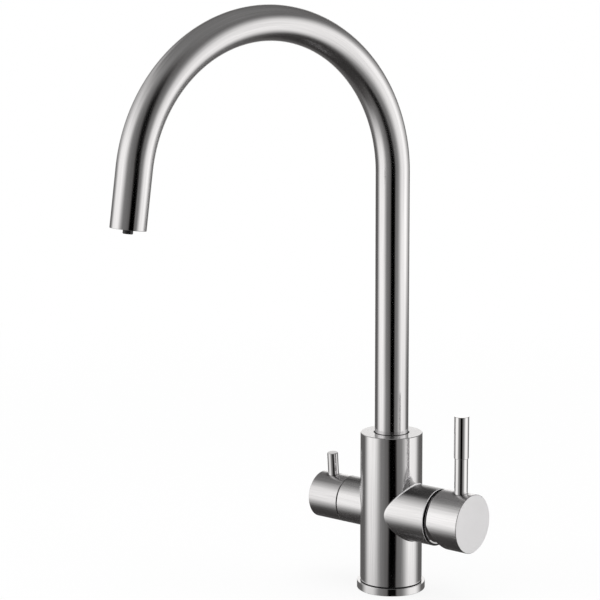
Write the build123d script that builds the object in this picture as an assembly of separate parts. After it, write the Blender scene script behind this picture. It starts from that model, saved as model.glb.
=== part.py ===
from build123d import *
from math import cos, radians, sin, sqrt, tan
import os

# A three-way kitchen tap for plain and filtered water, in millimetres.
# Z points up from the deck, the mixer arm points along +X and the filter arm along -X.
# The front of the tap faces -Y. The origin is the centre of the base ring's underside.

# Clearances and edges shared by all pieces
cut_overrun = 1.0
edge_bevel = 0.4
running_gap = 0.05
slip_gap = 0.1
loose_gap = 0.3
angle_gap = 1.0

# Barrel and arms
body_radius = 23.0
arm_height = 61.0
mixer_arm_step = 1.9
saddle_fillet = 0.8

# Base ring and its gasket
base_ring_height = 5.5
base_ring_ledge = 2.4
base_ring_inset = 4.0
base_ring_edge = 0.6
gasket_width = 3.0
gasket_height = 1.5

# Water inlets and fixing studs in the underside
inlet_thread_radius = 4.5
inlet_thread_depth = 12.0
channel_share = 0.104
channel_wall = 1.4
stud_hole_radius = 2.5
stud_hole_depth = 14.0
stud_wall = 1.2

# Spout tube
spout_radius = 12.5
spout_wall = 1.2
spout_insertion = 14.3
arch_centre_height = 311.5
arch_radius = 109.0
arch_sweep = 172.0
spout_end_length = 40.0
spout_rest_angle = -105.0

# Spout connector, its rings and its retaining screw
socket_clearance = 0.5
socket_web = 2.8
connector_chamber = 2.5
seal_land = 1.2
glide_height = 2.5
glide_depth = 1.2
seal_height = 2.4
seal_depth = 1.8
retaining_height = 3.2
retaining_depth = 1.6
spigot_length = 12.0
mixed_port_radius = 2.2
mixed_port_circle = 7.0
mixed_port_count = 6
nipple_radius = 4.2
nipple_seal_depth = 1.3
nipple_seal_height = 2.0
glide_split_width = 0.8
retaining_screw_radius = 2.0
retaining_tip_radius = 1.3
retaining_screw_recess = 1.0
screw_tip_gap = 0.3
screw_tip_length = 1.6

# Filtered water tube and nozzle inside the spout
hose_radius = 3.1
hose_wall = 1.0
hose_grip_length = 9.0
water_way_radius = 1.3
nozzle_radius = 3.5
nozzle_body_length = 12.0
nozzle_reach = 3.0

# Outlet ring at the spout's end
outlet_recess = 1.0
collar_wall = 1.4
collar_length = 15.0
collar_lip = 1.5
collar_lip_depth = 1.4
aerator_wall = 1.0
aerator_plate = 1.6
aerator_washer_height = 1.4
aerator_hole_radius = 0.55
aerator_hole_counts = (12, 18)
mesh_height = 0.6

# Mixer cartridge
cartridge_seat_share = 0.522
cartridge_standoff = 0.3
base_thickness = 4.2
base_rim_height = 2.5
base_rim_wall = 1.6
port_circle_share = 0.497
port_angle = 50.0
port_share = 0.131
outlet_port_share = 0.183
outlet_offset_share = 0.217
port_seal_wall = 1.2
port_seal_height = 2.0
fixed_disc_share = 0.771
fixed_disc_height = 3.5
inlet_slot_width = 2.6
inlet_slot_half_angle = 32.0
moving_disc_share = 0.629
moving_disc_height = 3.5
mixing_recess_share = 0.36
mixing_recess_depth = 2.0
carrier_share = 0.606
carrier_height = 5.0
carrier_peg_radius = 1.2
carrier_peg_length = 1.4
carrier_peg_share = 0.429
socket_flare = 1.7
rotor_share = 0.869
rotor_height = 7.9
rotor_neck_share = 0.543
rotor_neck_height = 4.0
rotor_seal_height = 1.5
rotor_seal_depth = 1.1
rotor_stop_height = 1.4
rotor_stop_width = 2.6
rotor_stop_half_angle = 14.0
temperature_half_range = 45.0
flow_range = 25.0
shell_wall = 1.6
shell_plate = 2.8
pivot_height = 5.4
pivot_pin_radius = 1.5
pivot_pin_inset = 0.7

# Cartridge nut, dome and housing
housing_wall = 3.3
housing_lip = 0.3
nut_height = 3.8
nut_wall = 5.5
nut_slot_width = 4.0
nut_slot_depth = 2.0
nut_slot_count = 6
dome_wall = 1.0
dome_foot_inset = 1.0

# Cartridge stem
ball_radius = 2.9
stem_neck_radius = 2.1
tongue_share = 0.411
tongue_thickness = 5.0
stem_share = 0.457

# Mixer lever
lever_gap = 3.35
cap_overhang = 0.5
cap_length = 26.35
cap_wall = 1.8
cap_boss_radius = 7.5
rod_radius = 4.9
rod_offset = 15.7
rod_length = 27.0
rod_sink = 1.2
rod_thread_radius = 3.0
rod_thread_length = 10.5
grip_radius = 5.4
grip_length = 30.9
grip_edge = 0.2
grip_core_radius = 3.4
grip_top = 2.6
grub_gap = 0.9

# Filter valve
valve_seat_share = 0.435
valve_radius = 10.3
valve_wall = 1.7
valve_seal_height = 2.0
valve_seal_wall = 2.6
valve_disc_height = 3.0
valve_port_inner = 2.0
valve_port_outer = 6.4
valve_port_angle = 76.0
valve_window_height = 3.9
valve_window_angle = 62.0
valve_window_count = 3
valve_chamber_depth = 2.2
spindle_flange_height = 3.0
spindle_shaft_radius = 5.9
spindle_seal_height = 2.2
spindle_seal_depth = 1.5
spindle_leg_angle = 28.0
spindle_leg_width = 2.4
spindle_leg_bite = 1.5
valve_hex_height = 5.0
valve_hex_margin = 1.7
valve_washer_height = 1.0
valve_boss_wall = 3.1
valve_boss_height = 1.8
clip_height = 0.9
clip_width = 2.4
clip_depth = 0.8
clip_open_angle = 70.0
spline_radius = 4.0
spline_depth = 0.3
spline_count = 20
filtered_drill_radius = 1.6

# Filter knob and pin
stub_radius = 17.5
stub_length = 15.2
knob_gap = 0.4
knob_length = 26.6
knob_wall = 2.0
knob_hollow = 8.4
knob_boss_radius = 7.5
knob_boss_height = 3.5
pin_radius = 4.1
pin_end_offset = 11.5
pin_top = 34.3
pin_sink = 1.1
pin_thread_radius = 2.5
pin_thread_length = 6.0
pin_rest_angle = 4.2
knob_grub_length = 5.0
hex_key_share = 0.5

# Worked out: base and underside
ring_outer_radius = body_radius + base_ring_ledge
ring_inner_radius = body_radius - base_ring_inset
foot_radius = ring_inner_radius - loose_gap
gasket_mid_radius = (ring_inner_radius + ring_outer_radius) / 2
channel_radius = body_radius * channel_share
stud_middle = foot_radius - stud_hole_radius - stud_wall

# Worked out: cartridge sizes across the mixer arm
housing_radius = body_radius - mixer_arm_step
cavity_radius = housing_radius - housing_wall
nut_radius = (cavity_radius + housing_radius) / 2
cartridge_radius = cavity_radius - loose_gap
port_circle = cartridge_radius * port_circle_share
port_radius = cartridge_radius * port_share
outlet_port_radius = cartridge_radius * outlet_port_share
outlet_port_offset = cartridge_radius * outlet_offset_share
fixed_disc_radius = cartridge_radius * fixed_disc_share
moving_disc_radius = cartridge_radius * moving_disc_share
mixing_recess_radius = cartridge_radius * mixing_recess_share
carrier_radius = cartridge_radius * carrier_share
carrier_peg_circle = cartridge_radius * carrier_peg_share
rotor_radius = cartridge_radius * rotor_share
rotor_neck_radius = cartridge_radius * rotor_neck_share
tongue_width = cartridge_radius * tongue_share
stem_side = cartridge_radius * stem_share

# Worked out: mixer arm stations, measured out from the barrel's axis
cartridge_seat = body_radius * cartridge_seat_share
base_start = cartridge_seat + cartridge_standoff
base_end = base_start + base_thickness
fixed_disc_end = base_end + fixed_disc_height
moving_disc_start = fixed_disc_end + running_gap
moving_disc_end = moving_disc_start + moving_disc_height
carrier_end = moving_disc_end + carrier_height
rotor_start = carrier_end + loose_gap
rotor_end = rotor_start + rotor_height
rotor_neck_end = rotor_end + rotor_neck_height
shell_plate_start = rotor_end + slip_gap
shell_end = shell_plate_start + shell_plate
nut_end = shell_end + nut_height
housing_end = nut_end + housing_lip
pivot_station = rotor_start + pivot_height
ball_station = moving_disc_end + ball_radius + loose_gap
flow_sine = sin(radians(flow_range))
flow_cosine = cos(radians(flow_range))
tilted_half_tongue = tongue_width / 2 / flow_cosine
tilted_tongue_edge = (rotor_neck_end - pivot_station) * flow_sine / flow_cosine + tilted_half_tongue
rotor_slot_down = tilted_tongue_edge + 2 * loose_gap
rotor_slot_up = tongue_width / 2 * (flow_sine + flow_cosine) + 4 * loose_gap
square_lift = rotor_neck_end - pivot_station + loose_gap + stem_side / 2 * flow_sine
square_start = pivot_station + square_lift / flow_cosine
dome_foot_radius = nut_radius - dome_foot_inset
dome_foot_end = nut_end + dome_wall
dome_radius = sqrt(dome_foot_radius**2 + (dome_foot_end - pivot_station) ** 2)
dome_tilted_edge = sqrt(dome_radius**2 - stem_side**2 / 2) * flow_sine + stem_side / 2 * flow_cosine
dome_opening_radius = sqrt(dome_tilted_edge**2 + stem_side**2 / 4) + 2 * loose_gap
cap_radius = housing_radius + cap_overhang
cap_start = housing_end + lever_gap
cap_end = cap_start + cap_length
cap_hollow_radius = cap_radius - cap_wall
relief_slope = tan(radians(flow_range + angle_gap))
cap_hollow_end = cap_start + cap_radius * relief_slope
cap_boss_start = pivot_station + dome_radius + 2 * loose_gap
rod_station = cap_start + rod_offset
rod_seat = cap_radius - rod_sink
lever_grub_length = rod_seat - rod_thread_length - stem_side / 2 - grub_gap
stem_end = rod_station + rod_thread_radius
port_up = port_circle * cos(radians(port_angle))
port_across = port_circle * sin(radians(port_angle))

# Worked out: filter arm stations, measured out from the barrel's axis
valve_seat = body_radius * valve_seat_share
valve_bore_radius = valve_radius + slip_gap
valve_cavity_radius = valve_radius - valve_wall
valve_disc_radius = valve_cavity_radius - slip_gap
valve_fixed_start = valve_seat + valve_seal_height
valve_moving_start = valve_fixed_start + valve_disc_height + running_gap
valve_moving_end = valve_moving_start + valve_disc_height
spindle_flange_start = valve_moving_end + valve_window_height
spindle_flange_end = spindle_flange_start + spindle_flange_height
valve_cavity_end = spindle_flange_end + loose_gap
valve_chamber_radius = valve_bore_radius + valve_chamber_depth
stub_end = body_radius + stub_length
valve_hex_end = stub_end - slip_gap
valve_hex_start = valve_hex_end - valve_hex_height
valve_washer_start = valve_hex_start - valve_washer_height
valve_hex_half_flats = valve_radius + valve_hex_margin
valve_hex_corner = valve_hex_half_flats / cos(radians(30))
counterbore_radius = valve_hex_corner + 2 * loose_gap
valve_boss_radius = spindle_shaft_radius + running_gap + valve_boss_wall
valve_boss_end = valve_hex_end + valve_boss_height
clip_start = valve_boss_end + slip_gap
clip_end = clip_start + clip_height
knob_start = stub_end + knob_gap
knob_end = knob_start + knob_length
knob_hollow_end = knob_start + knob_hollow
knob_boss_start = knob_hollow_end - knob_boss_height
pin_station = knob_end - pin_end_offset
pin_seat = stub_radius - pin_sink
spindle_end = pin_station + pin_thread_radius + loose_gap
spline_start = knob_boss_start - loose_gap

# Worked out: spout socket and connector heights
socket_radius = spout_radius + socket_clearance
socket_floor = arm_height + cavity_radius + socket_web
connector_bottom = socket_floor + connector_chamber
ring_radius = socket_radius - running_gap
spout_bore_radius = spout_radius - spout_wall
spigot_radius = spout_bore_radius - running_gap
filtered_drill_height = arm_height + valve_chamber_radius
pilot_radius = nipple_radius + slip_gap
pilot_floor = filtered_drill_height - filtered_drill_radius - loose_gap
nipple_bottom = filtered_drill_height + filtered_drill_radius + loose_gap
mixed_channel_out = cartridge_seat - channel_wall - channel_radius
groove_sizes = (
    ("glide_ring_lower", glide_height, glide_depth),
    ("spout_seal_lower", seal_height, seal_depth),
    ("retaining_groove", retaining_height, retaining_depth),
    ("spout_seal_upper", seal_height, seal_depth),
    ("glide_ring_upper", glide_height, glide_depth),
)
groove_bottoms = {}
next_groove = connector_bottom + seal_land
for groove_name, groove_height, groove_depth in groove_sizes:
    groove_bottoms[groove_name] = next_groove
    next_groove += groove_height + seal_land
connector_shoulder = next_groove
body_top = connector_shoulder + spout_insertion
spigot_top = connector_shoulder + spigot_length
hose_grip_top = spigot_top + hose_grip_length
hose_bore_radius = hose_radius - hose_wall
barb_radius = hose_bore_radius - running_gap
retaining_middle = groove_bottoms["retaining_groove"] + retaining_height / 2

# Worked out: the spout's outlet, in the plane of the arch
arch_turn = radians(arch_sweep)
arch_end = (arch_radius * (1 - cos(arch_turn)), arch_centre_height + arch_radius * sin(arch_turn))
outlet_direction = (sin(arch_turn), cos(arch_turn))

# Frames of the two arms: local Z points out along the arm, local X points up
mixer_frame = Plane(origin=(0, 0, arm_height), x_dir=(0, 0, 1), z_dir=(1, 0, 0)).location
filter_frame = Plane(origin=(0, 0, arm_height), x_dir=(0, 0, 1), z_dir=(-1, 0, 0)).location
spout_turn = Rot(0, 0, spout_rest_angle)
outlet_frame = spout_turn * Plane(
    origin=(
        arch_end[0] + spout_end_length * outlet_direction[0],
        0,
        arch_end[1] + spout_end_length * outlet_direction[1],
    ),
    x_dir=(0, 1, 0),
    z_dir=(outlet_direction[0], 0, outlet_direction[1]),
).location


# Basic forms
def turned(outline):
    """Revolve a closed outline of (radius, height) points about the Z axis."""
    edge = Polyline(*[(radius, 0, height) for radius, height in outline], close=True)
    return revolve(make_face(edge), axis=Axis.Z)


def rod(radius, bottom, top, across=(0, 0)):
    """Stand a round rod between two heights, at a place across the axis."""
    upright = Cylinder(radius, top - bottom, align=(Align.CENTER, Align.CENTER, Align.MIN))
    return Pos(across[0], across[1], bottom) * upright


def bevelled_rod(radius, bottom, top, bevel):
    """Stand a round rod whose top edge is bevelled."""
    return turned([(0, bottom), (radius, bottom), (radius, top - bevel), (radius - bevel, top), (0, top)])


def ring(outer, inner, bottom, top):
    """Make a plain round ring between two heights."""
    return turned([(inner, bottom), (outer, bottom), (outer, top), (inner, top)])


def seal(outer, inner, bottom, top):
    """Make a squeezed rubber ring, flat where it is pressed and rounded off at its corners."""
    corner = min(outer - inner, top - bottom) / 4
    return turned(
        [
            (inner + corner, bottom),
            (outer - corner, bottom),
            (outer, bottom + corner),
            (outer, top - corner),
            (outer - corner, top),
            (inner + corner, top),
            (inner, top - corner),
            (inner, bottom + corner),
        ]
    )


def sector(outer, inner, bottom, top, half_angle, middle=0.0):
    """Cut a ring down to the piece within half_angle on each side of its middle direction."""
    outline = Polyline((inner, 0, bottom), (outer, 0, bottom), (outer, 0, top), (inner, 0, top), close=True)
    wedge = revolve(make_face(outline), axis=Axis.Z, revolution_arc=2 * half_angle)
    return Rot(0, 0, middle - half_angle) * wedge


def block(size_x, size_y, bottom, top, across=(0, 0)):
    """Stand a rectangular block between two heights."""
    upright = Box(size_x, size_y, top - bottom, align=(Align.CENTER, Align.CENTER, Align.MIN))
    return Pos(across[0], across[1], bottom) * upright


def hexagon(half_flats, bottom, top):
    """Stand a hexagonal block between two heights."""
    return Pos(0, 0, bottom) * extrude(RegularPolygon(half_flats, 6, major_radius=False), top - bottom)


def spline_bar(outer, depth, bottom, top):
    """Stand a bar with a toothed outline, alternating between its crests and its roots."""
    step = 180 / spline_count
    radii = (outer, outer - depth) * spline_count
    corners = [(r * cos(radians(i * step)), r * sin(radians(i * step))) for i, r in enumerate(radii)]
    return Pos(0, 0, bottom) * extrude(Polygon(*corners, align=None), top - bottom)


def drilling(radius, start, end):
    """Make the tool for a straight round hole from one point to another."""
    way = Vector(*end) - Vector(*start)
    tool = Cylinder(radius, way.length, align=(Align.CENTER, Align.CENTER, Align.MIN))
    return Plane(origin=start, z_dir=way).location * tool


def grub_screw(radius, length):
    """Make a headless screw with a hexagonal key socket in its top, standing on zero."""
    bevel = radius / 4
    shank = turned([(0, 0), (radius - bevel, 0), (radius, bevel), (radius, length - bevel),
                    (radius - bevel, length), (0, length)])
    return shank - hexagon(radius * hex_key_share, length * (1 - hex_key_share), length + cut_overrun)


# Body
def make_body():
    """Make the barrel with both arms, its water ways, sockets and threaded holes."""
    barrel = turned(
        [
            (0, 0),
            (foot_radius, 0),
            (foot_radius, base_ring_height),
            (body_radius - edge_bevel, base_ring_height),
            (body_radius, base_ring_height + edge_bevel),
            (body_radius, body_top - edge_bevel),
            (body_radius - edge_bevel, body_top),
            (0, body_top),
        ]
    )
    housing = mixer_frame * bevelled_rod(housing_radius, 0, housing_end, edge_bevel)
    stub = filter_frame * bevelled_rod(stub_radius, 0, stub_end, edge_bevel)
    solid = barrel + housing + stub
    saddles = [edge for edge in solid.edges() if edge.geom_type not in (GeomType.CIRCLE, GeomType.LINE)]
    solid = fillet(saddles, saddle_fillet)
    for hollow in (*spout_socket(), *mixer_hollows(), *filter_hollows(), *underside_holes()):
        solid -= hollow
    return solid


def spout_socket():
    """Give the hollows that take the spout's connector, nipple and retaining screw."""
    bore = rod(socket_radius, socket_floor, body_top + cut_overrun)
    pilot = rod(pilot_radius, pilot_floor, socket_floor + cut_overrun)
    screw_hole = drilling(
        retaining_screw_radius + running_gap,
        (0, 0, retaining_middle),
        (0, body_radius + cut_overrun, retaining_middle),
    )
    mixed_riser = rod(
        channel_radius,
        arm_height - outlet_port_offset,
        socket_floor + cut_overrun,
        (mixed_channel_out, 0),
    )
    return bore, pilot, screw_hole, mixed_riser


def mixer_hollows():
    """Give the hollows of the mixer arm: cartridge bore, nut thread and the ways to its ports."""
    bore = mixer_frame * rod(cavity_radius, cartridge_seat, housing_end + cut_overrun)
    thread = mixer_frame * rod(nut_radius + slip_gap, shell_end, housing_end + cut_overrun)
    ways = [
        drilling(
            channel_radius,
            (mixed_channel_out, side * port_across, arm_height + port_up),
            (cartridge_seat + cut_overrun, side * port_across, arm_height + port_up),
        )
        for side in (-1, 1)
    ]
    mixed_way = drilling(
        channel_radius,
        (mixed_channel_out, 0, arm_height - outlet_port_offset),
        (cartridge_seat + cut_overrun, 0, arm_height - outlet_port_offset),
    )
    return bore, thread, mixed_way, *ways


def filter_hollows():
    """Give the hollows of the filter arm: valve bore, chamber, counterbore and outlet way."""
    bore = filter_frame * rod(valve_bore_radius, valve_seat, stub_end + cut_overrun)
    chamber = filter_frame * rod(valve_chamber_radius, valve_moving_start, spindle_flange_start)
    counterbore = filter_frame * rod(counterbore_radius, valve_washer_start, stub_end + cut_overrun)
    inlet_way = drilling(
        channel_radius,
        (-(valve_seat - channel_wall - channel_radius), 0, arm_height),
        (-(valve_seat + cut_overrun), 0, arm_height),
    )
    outlet_way = drilling(
        filtered_drill_radius,
        (-(valve_moving_start + spindle_flange_start) / 2, 0, filtered_drill_height),
        (0, 0, filtered_drill_height),
    )
    return bore, chamber, counterbore, inlet_way, outlet_way


def underside_holes():
    """Give the hollows of the underside: threaded inlets with their risers, and stud holes."""
    filter_in = -(valve_seat - channel_wall - channel_radius)
    inlets = (
        (mixed_channel_out, -port_across, arm_height + port_up),
        (mixed_channel_out, port_across, arm_height + port_up),
        (filter_in, 0, arm_height),
    )
    threads = [rod(inlet_thread_radius, -cut_overrun, inlet_thread_depth, (x, y)) for x, y, top in inlets]
    risers = [rod(channel_radius, 0, top, (x, y)) for x, y, top in inlets]
    studs = [
        rod(stud_hole_radius, -cut_overrun, stud_hole_depth, (0, side * stud_middle))
        for side in (-1, 1)
    ]
    return *threads, *risers, *studs


# Base
def make_base_ring():
    """Make the ring round the barrel's foot, with the gasket groove in its underside."""
    groove_inner = gasket_mid_radius - gasket_width / 2
    groove_outer = gasket_mid_radius + gasket_width / 2
    return turned(
        [
            (ring_inner_radius, 0),
            (groove_inner, 0),
            (groove_inner, gasket_height),
            (groove_outer, gasket_height),
            (groove_outer, 0),
            (ring_outer_radius, 0),
            (ring_outer_radius, base_ring_height - base_ring_edge),
            (ring_outer_radius - base_ring_edge, base_ring_height),
            (ring_inner_radius, base_ring_height),
        ]
    )


def make_base_gasket():
    """Make the rubber gasket in the base ring's underside, flush with the deck."""
    half_width = gasket_width / 2 - running_gap
    return seal(gasket_mid_radius + half_width, gasket_mid_radius - half_width, 0, gasket_height)


# Spout
def spout_path(bottom, end_length):
    """Give the centre line of the spout from a height on its leg to a length past the arch."""
    crown_angle = arch_turn / 2
    leg_top = (0, 0, arch_centre_height)
    crown = (arch_radius * (1 - cos(crown_angle)), 0, arch_centre_height + arch_radius * sin(crown_angle))
    bend_end = (arch_end[0], 0, arch_end[1])
    tip = (
        arch_end[0] + end_length * outlet_direction[0],
        0,
        arch_end[1] + end_length * outlet_direction[1],
    )
    return Line((0, 0, bottom), leg_top) + ThreePointArc(leg_top, crown, bend_end) + Line(bend_end, tip)


def bent_tube(outer, inner, bottom, end_length):
    """Bend a round tube along the spout's centre line."""
    section = Pos(0, 0, bottom) * (Circle(outer) - Circle(inner))
    return spout_turn * sweep(section, path=spout_path(bottom, end_length))


def make_spout_tube():
    """Make the outer tube, open at both ends, with its outlet edge bevelled."""
    tube = bent_tube(spout_radius, spout_bore_radius, connector_shoulder, spout_end_length)
    mouth = outlet_frame * turned(
        [
            (spout_radius - edge_bevel, 0),
            (spout_radius + cut_overrun, -edge_bevel - cut_overrun),
            (spout_radius + cut_overrun, cut_overrun),
            (spout_radius - edge_bevel, cut_overrun),
        ]
    )
    return tube - mouth


def make_spout_connector():
    """Make the grooved connector that turns in the barrel, with its nipple, ports and hose barb."""
    shell = turned(
        [
            (0, nipple_bottom),
            (nipple_radius, nipple_bottom),
            (nipple_radius, connector_bottom),
            (spout_radius, connector_bottom),
            (spout_radius, connector_shoulder),
            (spigot_radius, connector_shoulder),
            (spigot_radius, spigot_top),
            (barb_radius, spigot_top),
            (barb_radius, hose_grip_top),
            (0, hose_grip_top),
        ]
    )
    for name, height, depth in groove_sizes:
        bottom = groove_bottoms[name]
        shell -= ring(spout_radius + cut_overrun, spout_radius - depth, bottom, bottom + height)
    shell -= ring(
        nipple_radius + cut_overrun,
        nipple_radius - nipple_seal_depth,
        nipple_seal_bottom(),
        nipple_seal_bottom() + nipple_seal_height,
    )
    shell -= rod(water_way_radius, nipple_bottom - cut_overrun, hose_grip_top + cut_overrun)
    port = rod(
        mixed_port_radius,
        connector_bottom - cut_overrun,
        spigot_top + cut_overrun,
        (mixed_port_circle, 0),
    )
    for turn in range(mixed_port_count):
        shell -= Rot(0, 0, turn * 360 / mixed_port_count) * port
    return spout_turn * shell


def nipple_seal_bottom():
    """Give the height of the nipple's seal, midway between its end and the socket's floor."""
    return (nipple_bottom + socket_floor - nipple_seal_height) / 2


def make_glide_ring(name):
    """Make the split plastic ring that bears the spout in the barrel's bore."""
    bottom = groove_bottoms[name]
    whole = ring(ring_radius, spout_radius - glide_depth, bottom, bottom + glide_height)
    reach = ring_radius + cut_overrun
    split = block(reach, glide_split_width, bottom - cut_overrun, bottom + glide_height + cut_overrun,
                  (reach / 2, 0))
    return whole - split


def make_spout_seal(name):
    """Make a rubber ring that seals the connector in the barrel's bore."""
    bottom = groove_bottoms[name]
    return seal(ring_radius, spout_radius - seal_depth, bottom, bottom + seal_height)


def make_nipple_seal():
    """Make the rubber ring that keeps filtered water apart from plain water."""
    bottom = nipple_seal_bottom()
    return seal(
        pilot_radius - running_gap,
        nipple_radius - nipple_seal_depth,
        bottom,
        bottom + nipple_seal_height,
    )


def make_retaining_screw():
    """Make the screw at the back of the barrel whose tip runs in the connector's groove."""
    groove_floor = spout_radius - retaining_depth
    tip_start = groove_floor + screw_tip_gap
    shank_start = tip_start + screw_tip_length
    shank_length = body_radius - retaining_screw_recess - shank_start
    shank = Pos(0, 0, shank_start) * grub_screw(retaining_screw_radius, shank_length)
    tip = rod(retaining_tip_radius, tip_start, shank_start)
    toward_back = Plane(origin=(0, 0, retaining_middle), x_dir=(1, 0, 0), z_dir=(0, 1, 0)).location
    return toward_back * (shank + tip)


def make_filtered_hose():
    """Make the inner hose that keeps filtered water apart, all the way to the nozzle."""
    end_length = spout_end_length - nozzle_body_length
    return bent_tube(hose_radius, hose_bore_radius, spigot_top, end_length)


def make_nozzle():
    """Make the nozzle that ends the inner hose and stands out of the spout's mouth."""
    outline = [
        (0, -nozzle_body_length - hose_grip_length),
        (barb_radius, -nozzle_body_length - hose_grip_length),
        (barb_radius, -nozzle_body_length),
        (nozzle_radius, -nozzle_body_length),
        (nozzle_radius, nozzle_reach - edge_bevel),
        (nozzle_radius - edge_bevel, nozzle_reach),
        (0, nozzle_reach),
    ]
    barb_start = -nozzle_body_length - hose_grip_length
    way = rod(water_way_radius, barb_start - cut_overrun, nozzle_reach + cut_overrun)
    mouth = rod(barb_radius, -outlet_recess, nozzle_reach + cut_overrun)
    return outlet_frame * (turned(outline) - way - mouth)


def make_outlet_collar():
    """Make the sleeve fixed in the spout's mouth that holds the aerator."""
    bore = spigot_radius - collar_wall
    back = -outlet_recess - collar_length
    return outlet_frame * turned(
        [
            (bore - collar_lip_depth, back),
            (spigot_radius, back),
            (spigot_radius, -outlet_recess),
            (bore, -outlet_recess),
            (bore, back + collar_lip),
            (bore - collar_lip_depth, back + collar_lip),
        ]
    )


def aerator_stations():
    """Give the back and front of the aerator housing, counted from the spout's mouth."""
    back = -outlet_recess - collar_length + collar_lip + aerator_washer_height
    return back, -outlet_recess - edge_bevel


def make_aerator_washer():
    """Make the rubber washer between the collar's lip and the aerator."""
    back, front = aerator_stations()
    bore = spigot_radius - collar_wall
    outer = bore - slip_gap
    return outlet_frame * seal(outer, bore - collar_lip_depth, back - aerator_washer_height, back)


def make_aerator_housing():
    """Make the ring-shaped aerator cup with its rings of jet holes round the nozzle."""
    back, front = aerator_stations()
    outer = spigot_radius - collar_wall - slip_gap
    inner = nozzle_radius + slip_gap
    cup = turned(
        [
            (outer - aerator_wall, back),
            (outer, back),
            (outer, front),
            (inner, front),
            (inner, back + aerator_wall),
            (inner + aerator_wall, back + aerator_wall),
            (inner + aerator_wall, front - aerator_plate),
            (outer - aerator_wall, front - aerator_plate),
        ]
    )
    span = (outer - aerator_wall) - (inner + aerator_wall)
    for row, count in enumerate(aerator_hole_counts):
        circle = inner + aerator_wall + span * (row + 1) / (len(aerator_hole_counts) + 1)
        hole = rod(
            aerator_hole_radius,
            front - aerator_plate - cut_overrun,
            front + cut_overrun,
            (circle, 0),
        )
        cup -= [Rot(0, 0, turn * 360 / count) * hole for turn in range(count)]
    return outlet_frame * cup


def make_aerator_mesh():
    """Make the fine mesh pack inside the aerator as one flat ring."""
    front = aerator_stations()[1] - aerator_plate
    outer = spigot_radius - collar_wall - slip_gap - aerator_wall - slip_gap
    inner = nozzle_radius + slip_gap + aerator_wall + slip_gap
    return outlet_frame * ring(outer, inner, front - mesh_height, front)


# Mixer cartridge
def port_places():
    """Give the places of the two inlet ports and the outlet port across the arm's axis."""
    return (
        (port_up, port_across, port_radius),
        (port_up, -port_across, port_radius),
        (-outlet_port_offset, 0, outlet_port_radius),
    )


def make_cartridge_base():
    """Make the cartridge's base plate with its ports, seal seats and the rim round the fixed disc."""
    plate = rod(cartridge_radius, base_start, base_end)
    plate += ring(
        fixed_disc_radius + slip_gap + base_rim_wall,
        fixed_disc_radius + slip_gap,
        base_end,
        base_end + base_rim_height,
    )
    for up, across, radius in port_places():
        plate -= rod(radius, base_start - cut_overrun, base_end + cut_overrun, (up, across))
        seat_top = cartridge_seat + port_seal_height
        plate -= rod(radius + port_seal_wall, base_start - cut_overrun, seat_top, (up, across))
    return mixer_frame * plate


def make_port_seals():
    """Make the three rubber rings between the base plate and the arm's floor."""
    seal_top = cartridge_seat + port_seal_height
    rings = [
        Pos(up, across, 0)
        * seal(radius + port_seal_wall - running_gap, radius, cartridge_seat, seal_top)
        for up, across, radius in port_places()
    ]
    return mixer_frame * (Part() + rings)


def make_fixed_disc():
    """Make the fixed ceramic disc with two curved inlet slots and a round outlet."""
    disc = rod(fixed_disc_radius, base_end, fixed_disc_end)
    low, high = base_end - cut_overrun, fixed_disc_end + cut_overrun
    inner = mixing_recess_radius + 2 * loose_gap
    for side in (-1, 1):
        disc -= sector(inner + inlet_slot_width, inner, low, high, inlet_slot_half_angle, side * port_angle)
    disc -= rod(outlet_port_radius, low, high, (-outlet_port_offset, 0))
    return mixer_frame * disc


def make_moving_disc():
    """Make the moving ceramic disc with the mixing recess in its face and two peg holes."""
    disc = rod(moving_disc_radius, moving_disc_start, moving_disc_end)
    disc -= rod(
        mixing_recess_radius,
        moving_disc_start - cut_overrun,
        moving_disc_start + mixing_recess_depth,
    )
    for side in (-1, 1):
        disc -= rod(
            carrier_peg_radius + running_gap,
            moving_disc_end - carrier_peg_length - running_gap,
            moving_disc_end + cut_overrun,
            (0, side * carrier_peg_circle),
        )
    return mixer_frame * disc


def make_disc_carrier():
    """Make the plate that moves the ceramic disc, with two pegs and a flared socket for the stem."""
    socket = ball_radius + loose_gap
    plate = turned(
        [
            (socket, moving_disc_end),
            (carrier_radius, moving_disc_end),
            (carrier_radius, carrier_end),
            (socket + socket_flare, carrier_end),
            (socket, carrier_end - socket_flare),
        ]
    )
    for side in (-1, 1):
        plate += rod(
            carrier_peg_radius,
            moving_disc_end - carrier_peg_length,
            carrier_end,
            (0, side * carrier_peg_circle),
        )
    return mixer_frame * plate


def make_rotor():
    """Make the turning rotor with its neck, stem slot, pin bore, seal groove and stop lug."""
    body = turned(
        [
            (0, rotor_start),
            (rotor_radius, rotor_start),
            (rotor_radius, rotor_end),
            (rotor_neck_radius, rotor_end),
            (rotor_neck_radius, rotor_neck_end),
            (0, rotor_neck_end),
        ]
    )
    body += sector(
        rotor_radius,
        rotor_radius - rotor_stop_width,
        rotor_end - edge_bevel,
        rotor_end + rotor_stop_height,
        rotor_stop_half_angle,
    )
    body -= ring(
        rotor_neck_radius + cut_overrun,
        rotor_neck_radius - rotor_seal_depth,
        rotor_seal_bottom(),
        rotor_seal_bottom() + rotor_seal_height,
    )
    body -= block(
        rotor_slot_down + rotor_slot_up,
        tongue_thickness + 2 * slip_gap,
        rotor_start - cut_overrun,
        rotor_neck_end + cut_overrun,
        ((rotor_slot_up - rotor_slot_down) / 2, 0),
    )
    reach = rotor_radius + cut_overrun
    body -= drilling(pivot_pin_radius, (0, -reach, pivot_station), (0, reach, pivot_station))
    return mixer_frame * body


def rotor_seal_bottom():
    """Give the station of the neck's seal, midway through the shell's plate."""
    return (shell_plate_start + rotor_stop_height + shell_end - rotor_seal_height) / 2


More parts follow.
